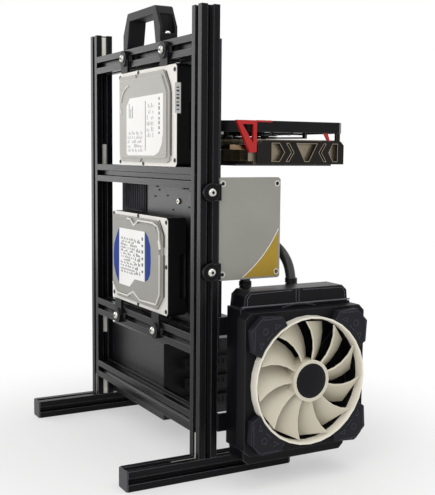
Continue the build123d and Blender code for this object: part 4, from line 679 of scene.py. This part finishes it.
# Print on the labels: plain bars
bm = bmesh.new()
printed_bars(bm, (-45, 320), (-3, 352), (2.9, 4.6), 0.9, 3)
for x, high in ((-42, 372), (-37.5, 366), (-33, 369)):
    bar(bm, (x, 356), (x + 1.4, high))
printed_bars(bm, (6, 335), (24, 372), (3.6, 6.1), 0.9, 2)
for i in range(8):
    bar(bm, (34.5, 338 + i * 4.9), (37.2, 340.4 + i * 4.9 + (i % 3) * 0.6))
bar(bm, (1.0, 321), (2.4, 373))
for i in range(7):
    block(bm, (69.72, -49.0, 361 + i * 3.6), (69.78, -46.0, 362.2 + i * 3.6 + (i % 2) * 0.8),
          edge=0)
printed_bars(bm, (-66, 185), (-26, 226), (2.5, 3.4), 1.3, 4)
printed_bars(bm, (-26, 186), (-11, 230), (3.0, 5.0), 1.8, 6)
for i in range(6):
    bar(bm, (-8.2, 190 + i * 7), (-4.2, 192.6 + i * 7 + (i % 2) * 0.8))
piece("label_print", bm, grey_ink)

# Blue bands on both sides of the lower label
left_band = [
    (-72.2, 171.5), (-71.2, 234.5), (-78, 226), (-85.5, 215), (-87.6, 203), (-86.5, 190),
    (-80, 179),
]
right_band = [
    (0.8, 181.5), (8, 184), (14, 191), (15.5, 204), (14.5, 220), (8.5, 230), (0.8, 235.5),
]
stamped("label_bands", [(plate(band, 0.12), on_drives) for band in (left_band, right_band)],
        blue_ink)

# Ribs pressed into the drive covers: an arc on the upper one, and a V, a bar and corners on the
# lower one, drawn in the paler casting finish as a painted highlight.
rib_lines = (
    (arc((-40, 366), 25, range(96, 166, 5)), 1.5, UPPER_COVER, 1.3),
    ([(-64, 368), (-63.2, 361)], 2.2, UPPER_COVER, 0.8),
    ([(-49, 246.2), (-40, 246.2), (-29.4, 239.6), (-18, 246), (20, 246)], 2.0, LOWER_COVER, 1.9),
    ([(20, 246), (30.5, 243), (35, 237), (36.3, 226)], 2.0, LOWER_COVER, 1.9),
    ([(35.2, 229), (38.6, 219.5)], 4.2, LOWER_COVER, 2.1),
    ([(36.6, 214), (36.6, 173), (28, 160.5), (-14, 159.5)], 2.0, LOWER_COVER, 1.9),
    ([(-14, 159.5), (-32, 166.2), (-48, 159.5), (-78, 159.5), (-91, 170)], 2.0, LOWER_COVER, 1.9),
)
ribs = [(plate(strip(line, width), height, edge=0.4), facing("-y", (0, base, 0)))
        for line, width, base, height in rib_lines]
stamped("cover_ribs", ribs, bare_casting_and_highlight)

# Dark strips beside each cover: painted shade along the cover's edge.
shade_lines = (
    [(57.6, 316), (57.6, 379), (55.4, 386.5), (45.5, 401)],
    [(42.2, 170), (42.2, 214)], [(42.2, 222), (42.2, 234), (30, 249.4)],
)
shade_strips = [(plate(strip(line, 1.3), 0.5, edge=0.15), facing("-y", (0, DRIVE_RIM, 0)))
         for line in shade_lines]
stamped("cover_shade_lines", shade_strips, soft_rubber)

# Ochre corner field with a pale edge line, on the solid-state drive
field_arc = arc((-73.2, 303.9), 130, [-27.2 - i for i in range(29)])
field = plate(field_arc + [(40.6, 197.2), (42.4, 199.0)], 0.08, edge=0.02)
field_edge = plate(strip(field_arc, 0.8), 0.12, edge=0.03)
on_ssd = facing("x", (SSD_FACE, 0, 0))
stamped("corner_field", [(field, on_ssd)], ochre_ink)
stamped("field_edge", [(field_edge, on_ssd)], label_paper)

# Corner screws of the solid-state drive, each in a bright ring
small_head = turned([(0, -0.5), (1.75, -0.5), (1.75, 0.0), (1.5, 0.3), (0.8, 0.3), (0.7, -0.3),
                     (0, -0.3)], steps=20)
bright_ring = turned([(1.9, -0.4), (1.9, 0.1), (2.3, 0.3), (2.9, 0.25), (3.2, 0.0)], steps=24)
SSD_MIDDLE = (9.525, 245.425)
corners = [facing("x", (SSD_FACE, SSD_MIDDLE[0] + dy, SSD_MIDDLE[1] + dz))
           for dy in (-30.925, 30.925) for dz in (-44.225, 44.225)]
stamped("ssd_screws", [(small_head, corner) for corner in corners], oxide_and_painted_shade)
stamped("ssd_rings", [(bright_ring, corner) for corner in corners], bare_casting_and_highlight)

# Low screw heads with a round recess, round the drive covers
low_head = turned([(0, 0), (2.3, 0), (2.3, 0.35), (2.0, 0.6), (0.9, 0.6), (0.8, 0.1), (0, 0.1)],
                  steps=20)
cover_places = (
    (65.5, 311.5), (65, 401), (-11.4, 307.6), (-24.4, 404), (-74.8, 402), (-74.6, 309),
    (46, 155.5), (46, 248), (46.5, 202), (-94.8, 249.5), (-94.2, 157.5), (-25, 153.2),
    (-25, 250.6),
)
stamped("cover_screws", [(low_head, facing("-y", (x, DRIVE_RIM, z))) for x, z in cover_places],
        oxide_and_painted_shade)

# Red edge strip and strut on the card's shroud
bm = bmesh.new()
block(bm, (121.6, 11.8, 349.4), (123.2, 29, 351.2))
strut = plate([(90.5, 340.4), (96, 340.4), (99.5, 331.2), (96.5, 331.2)], 1.8, edge=0.3)
stamp(bm, strut, facing("x", (120.6, 0, 0)))
piece("card_red_edge", bm, red_abs)

# Paler lines round the cut-outs of the card's end plate: a painted highlight in the fins' warm
# metal.
plate_cuts = (
    [(29, 329.3), (38, 329.3), (44, 320.3), (38, 311.3), (29, 311.3)],
    [(46, 329.3), (49, 329.3), (55, 320.3), (49, 311.3), (46, 311.3), (52, 320.3)],
    [(58, 329.3), (83, 329.3), (73, 311.3), (68, 311.3)],
    [(94, 329.3), (91, 329.3), (85, 320.3), (91, 311.3), (94, 311.3), (88, 320.3)],
    [(97, 320.3), (102, 329.3), (108, 329.3), (108, 311.3), (102, 311.3)],
)
cut_highlights = [(plate(strip(cut + cut[:1], 0.7), 0.25, edge=0.08), facing("x", (CARD_FACE, 0, 0)))
             for cut in plate_cuts]
stamped("plate_edge_highlights", cut_highlights, warm_fin)

# Ribbed pad, posts and small parts on the back of the main board
bm = bmesh.new()
block(bm, (-126, -21.4, 252), (-66, BOARD_BACK, 284), edge=0.3)
for i in range(9):
    block(bm, (-124 + i * 6.4, -22.2, 253.5), (-120.6 + i * 6.4, -21.2, 282.5), edge=0.35)
piece("ribbed_pad", bm, soft_rubber)
post = turned([(0, 0), (3.2, 0), (3.2, 1.2), (2.7, 1.8), (1.3, 1.8), (1.2, 0.8), (0, 0.8)],
              steps=20)
post_places = ((18, 268), (-36, 340), (30, 372), (34, 312), (56, 224), (58, 180))
stamped("board_posts", [(post, facing("-y", (x, BOARD_BACK, z))) for x, z in post_places],
        zinc_plate)
small_parts = (
    (-40, 281, 4), (-33, 277.5, 2.4), (-44, 270, 3), (-12, 272, 2.4), (2, 257.5, 3.4),
    (26, 281, 5), (34, 281, 5), (44, 279, 3), (40, 262, 2.4), (52, 270, 2.4), (60, 258, 3),
    (70, 236, 2.4), (64, 214, 3), (72, 190, 2.4), (66, 168, 3), (84, 322, 3), (78, 341, 2.4),
    (88, 356, 3), (80, 377, 2.4), (86, 398, 3),
)
blocks("board_parts", [((x, -20.9, z), (x + length, BOARD_BACK, z + 1.6))
                       for x, z, length in small_parts], connector_plastic)

# Rounded moulding lips in the supply's outlet sockets, and its case screws
lips = []
for z in (36, 58, 80):
    for y in (-5, 33, 71):
        lips += [((3.6, y + 2.2 + k * 6, z + 2.4), (4.3, y + 6.4 + k * 6, z + 9.4))
                 for k in range(4)]
blocks("outlet_lips", lips, glass_filled, edge=0.3, segments=2)
case_places = ((-22, 105), (118, 105), (118, 29))
stamped("case_screws", [(low_head, facing("-x", (SUPPLY_FACE, y, z))) for y, z in case_places],
        oxide_and_painted_shade)

# Ports of the main board: dark blocks as painted shade in the openings of the steel shells,
# tongues in them, and rings of the round jacks. Each port is its lowest Y and Z, its depth and its
# length.
port_places = (
    (-14.0, 240.6, 5.2, 13.0), (-3.0, 240.6, 5.2, 13.0), (-14.0, 222.6, 5.2, 13.0),
    (-3.0, 222.6, 5.2, 13.0), (-15.0, 203.1, 5.2, 13.0), (-2.0, 203.0, 11.6, 13.2),
    (-15.2, 171.4, 9.6, 24.4), (-15.0, 149.1, 5.2, 13.0),
)
opening_shade = bmesh.new()
tongues = bmesh.new()
for y, z, depth, length in port_places:
    block(opening_shade, (SHELL_FACE - 0.3, y, z), (SHELL_FACE + 0.2, y + depth, z + length),
          edge=0.12, segments=1)
    block(tongues, (SHELL_FACE - 0.5, y + depth * 0.3, z + 1.2),
          (SHELL_FACE - 0.2, y + depth * 0.6, z + length - 1.2), edge=0.1, segments=1)
jack = turned([(1.75, 0), (3.9, 0), (3.9, 0.5), (3.5, 0.8), (2.3, 0.8), (1.75, 0.2), (1.75, 0)],
              steps=24)
jack_shade = turned([(0, 0), (1.9, 0), (1.9, 0.1), (0, 0.1)], steps=24)
rings = bmesh.new()
jack_places = [(y, z) for y in (-10.5, 0.5) for z in (262.6, 272.6, 282.6)]
for y, z in jack_places + [(4.0, 155.6)]:
    stamp(rings, jack, facing("-x", (SHELL_FACE, y, z)))
    stamp(opening_shade, jack_shade, facing("-x", (SHELL_FACE, y, z)))
# Ports in the card's slot bracket
for y in (22, 44, 66):
    block(opening_shade, (BRACKET_FACE - 0.35, y, 309.6), (BRACKET_FACE + 0.2, y + 16, 315.2),
          edge=0.12, segments=1)
    block(tongues, (BRACKET_FACE - 0.55, y + 2, 311.6), (BRACKET_FACE - 0.25, y + 14, 312.8),
          edge=0.1, segments=1)
# The dark blocks and discs are painted shade in the openings of the ports and jacks
piece("port_painted_shade", opening_shade, oxide_and_painted_shade)
piece("port_tongues", tongues, tongue_blue)
piece("jack_rings", rings, latch_grey)

# Small parts on the front of the main board: cans, coils, chips, coin cell, pin headers, latches
# and chip resistors
can = turned([(0, 0), (3.2, 0), (3.2, 0.7), (2.9, 1.1), (3.2, 1.5), (3.2, 7.3), (2.8, 7.8),
              (0, 7.8)], steps=20)
can_places = [(4, 152 + 13 * i) for i in range(9)]
can_places += [(-130, 378), (-121, 378), (-130, 390), (-121, 390), (-111, 384)]
can_places += [(86, 200), (86, 192), (86, 276), (86, 284), (60, 289), (69, 289), (-62, 290),
               (-53, 290)]
stamped("board_cans", [(can, facing("y", (x, BOARD_FACE, z))) for x, z in can_places],
        tinned_steel)
coil_places = [(-80, 168 + 11 * i) for i in range(7)] + [(-76 + 11 * i, 158) for i in range(6)]
bm = bmesh.new()
for x, z in coil_places:
    block(bm, (x - 3.7, BOARD_FACE, z - 3.7), (x + 3.7, -12.6, z + 3.7), edge=0.9, segments=3)
    block(bm, (x - 2.6, -12.8, z - 2.6), (x + 2.6, -12.3, z + 2.6), segments=1)
piece("board_coils", bm, dark_heatsink)
chip_places = (
    (-119, 402, 9, 9), (-32, 402, 13, 13), (60, 164, 12, 7), (72, 180, 9, 9), (60, 238, 14, 10),
    (66, 212, 10, 10), (-24, 284, 12, 12), (-92, 284, 8, 12), (6, 408, 8, 8), (66, 140, 9, 14),
    (28, 288, 11, 8),
)
LEG_PITCH = 1.6
bm = bmesh.new()
for x, z, wide, tall in chip_places:
    block(bm, (x, BOARD_FACE, z), (x + wide, -17.1, z + tall), segments=1)
    for i in range(int(tall / LEG_PITCH)):
        low = z + 0.7 + LEG_PITCH * i
        high = z + 1.3 + LEG_PITCH * i
        block(bm, (x - 0.9, BOARD_FACE, low), (x + wide + 0.9, -17.9, high), edge=0)
piece("board_chips", bm, connector_plastic)
cell = turned([(0, 0), (10, 0), (10, 2.2), (9.6, 2.6), (8.4, 2.6), (8.3, 3.0), (0, 3.0)],
              steps=48)
stamped("coin_cell", [(cell, facing("y", (5, BOARD_FACE, 389)))], bright_steel)
header_places = ((-96, 9), (-66, 5), (-44, 5), (14, 5), (36, 9), (66, 4))
bases = bmesh.new()
pins = bmesh.new()
PIN_PITCH = 2.54
PIN_HALF = 0.32
for start, count in header_places:
    block(bases, (start, BOARD_FACE, 418.6), (start + PIN_PITCH * count, -15.9, 423.6),
          edge=0.3, segments=1)
    for i in range(count):
        for z in (419.9, 422.4):
            x = start + PIN_PITCH * (i + 0.5)
            block(pins, (x - PIN_HALF, -16.2, z - PIN_HALF), (x + PIN_HALF, -10.0, z + PIN_HALF),
                  edge=0.1, segments=1)
# Cells of the main power socket
for x in (95.9, 100.1):
    for i in range(12):
        z = 214.2 + 4.2 * i
        block(bases, (x - 0.1, -5.6, z - 1.5), (x + 2.9, -5.1, z + 1.5), segments=1)
piece("header_bases", bases, connector_plastic)
piece("header_pins", pins, gold_pin)
latches = [((x + 0.8, BOARD_FACE, low), (x + 5.6, -7.2, high))
           for x in (14.8, 24.4, 34.0, 43.6) for low, high in ((126.4, 131.4), (274.0, 279.0))]
blocks("socket_latches", latches, latch_grey, edge=0.8, segments=2)

# Chip resistors are spread by a counting rule, clear of the areas in X and Z that are taken
taken = [
    (-143, -112, 140, 290), (-105, -74, 126, 245), (-87, -8, 126, 244), (12, 52, 124, 282),
    (91, 106, 205, 270), (-98, 2, 300, 314), (-98, 0, 362, 396), (22, 88, 352, 420),
    (-3, 12, 145, 262), (-8, 18, 376, 402),
]
taken += [(x - 2, x + wide + 2, z - 2, z + tall + 2) for x, z, wide, tall in chip_places]
taken += [(x - 5, x + 5, z - 5, z + 5) for x, z in can_places]
resistors = []
for i in range(220):
    x = -132 + (i * 37) % 229
    z = 128 + (i * 61) % 287
    if not any(x0 < x < x1 and z0 < z < z1 for x0, x1, z0, z1 in taken):
        wide, tall = ((2.2, 1.2), (1.2, 2.2), (3.0, 1.6))[i % 3]
        resistors.append(((x - wide / 2, BOARD_FACE, z - tall / 2),
                          (x + wide / 2, -17.7, z + tall / 2)))
blocks("chip_resistors", resistors, zinc_plate)

# Cap and ring on the pump, and ribbed collars where the hoses meet the radiator
pump_cap = turned([(0, 0), (16, 0), (16, 0.5), (15.4, 0.9), (0, 0.9)], steps=64)
pump_ring = turned([(24, 0), (26, 0), (25.8, 0.5), (25.2, 0.7), (24.4, 0.7), (24, 0.4), (24, 0)],
                   steps=64)
on_pump = facing("y", (-40, PUMP_FACE, 207.5))
stamped("pump_cap", [(pump_cap, on_pump), (pump_ring, on_pump)], grey_paint_and_highlight)
collar = turned([(5.25, 0), (6.3, 0), (6.5, 0.4), (6.2, 1.4), (6.5, 2.4), (6.2, 3.4), (6.5, 4.2),
                 (6.3, 4.6), (5.25, 4.6), (5.25, 0)])
stamped("hose_collars", [(collar, facing("z", (101.9, y, 186.6))) for y in (13.0, 68.0)],
        connector_plastic)

# Pale floor that fades into the white backdrop, and keeps the shadow near the bench
bm = bmesh.new()
bmesh.ops.create_circle(bm, segments=96, radius=4.0, cap_ends=True)
floor_mesh = bpy.data.meshes.new("floor")
bm.to_mesh(floor_mesh)
bm.free()
floor = bpy.data.objects.new("floor", floor_mesh)
scene.collection.objects.link(floor)
paper, tree, shader, where = finish("matt_backdrop_paper", "f4f4f3", 0.9, sheen=0.1)
reach = add(tree, "ShaderNodeVectorMath", {0: where}, operation="LENGTH").outputs["Value"]
fade = add(tree, "ShaderNodeMapRange", {
    "Value": reach, "From Min": 0.18, "From Max": 0.42, "To Min": 0.45, "To Max": 1,
}, interpolation_type="SMOOTHSTEP").outputs["Result"]
white = add(tree, "ShaderNodeEmission", {"Strength": 1.0, "Color": (1, 1, 1, 1)}).outputs[0]
blended = add(tree, "ShaderNodeMixShader", {0: fade, 1: shader.outputs[0], 2: white}).outputs[0]
tree.links.new(blended, tree.nodes["Material Output"].inputs["Surface"])
floor_mesh.materials.append(paper)

# World: white where the camera and reflections see it, softer as a light
world = bpy.data.worlds.new("studio")
scene.world = world
world.use_nodes = True
tree = world.node_tree
path = add(tree, "ShaderNodeLightPath").outputs
seen = add(tree, "ShaderNodeMath", {0: path["Is Camera Ray"], 1: path["Is Transmission Ray"]},
           operation="MAXIMUM").outputs[0]
seen = add(tree, "ShaderNodeMath", {0: seen, 1: path["Is Glossy Ray"]},
           operation="MAXIMUM").outputs[0]
strength = add(tree, "ShaderNodeMapRange", {
    "Value": seen, "To Min": 0.6, "To Max": 1.0}).outputs["Result"]
tree.links.new(strength, tree.nodes["Background"].inputs["Strength"])
tree.nodes["Background"].inputs["Color"].default_value = (1, 1, 1, 1)

# Soft lamps, each turned to the middle of the bench: its place and size in metres and its watts
LAMP_AIM = Vector((0, 0, 0.22))
lamps = {
    "key": ((1.1, -1.2, 1.3), (1.0, 1.0), 8),
    "left": ((-1.5, -0.75, 0.6), (0.7, 1.4), 7.2),
    "top": ((0.5, 0.3, 1.8), (1.0, 1.0), 6),
}
for name, (place, size, power) in lamps.items():
    lamp = bpy.data.lights.new(name, "AREA")
    lamp.shape = "RECTANGLE"
    lamp.size, lamp.size_y = size
    lamp.energy = power
    made = bpy.data.objects.new(name, lamp)
    scene.collection.objects.link(made)
    made.location = place
    made.rotation_mode = "QUATERNION"
    made.rotation_quaternion = (LAMP_AIM - Vector(place)).to_track_quat("-Z", "Y")

scene.view_settings.view_transform = "Standard"
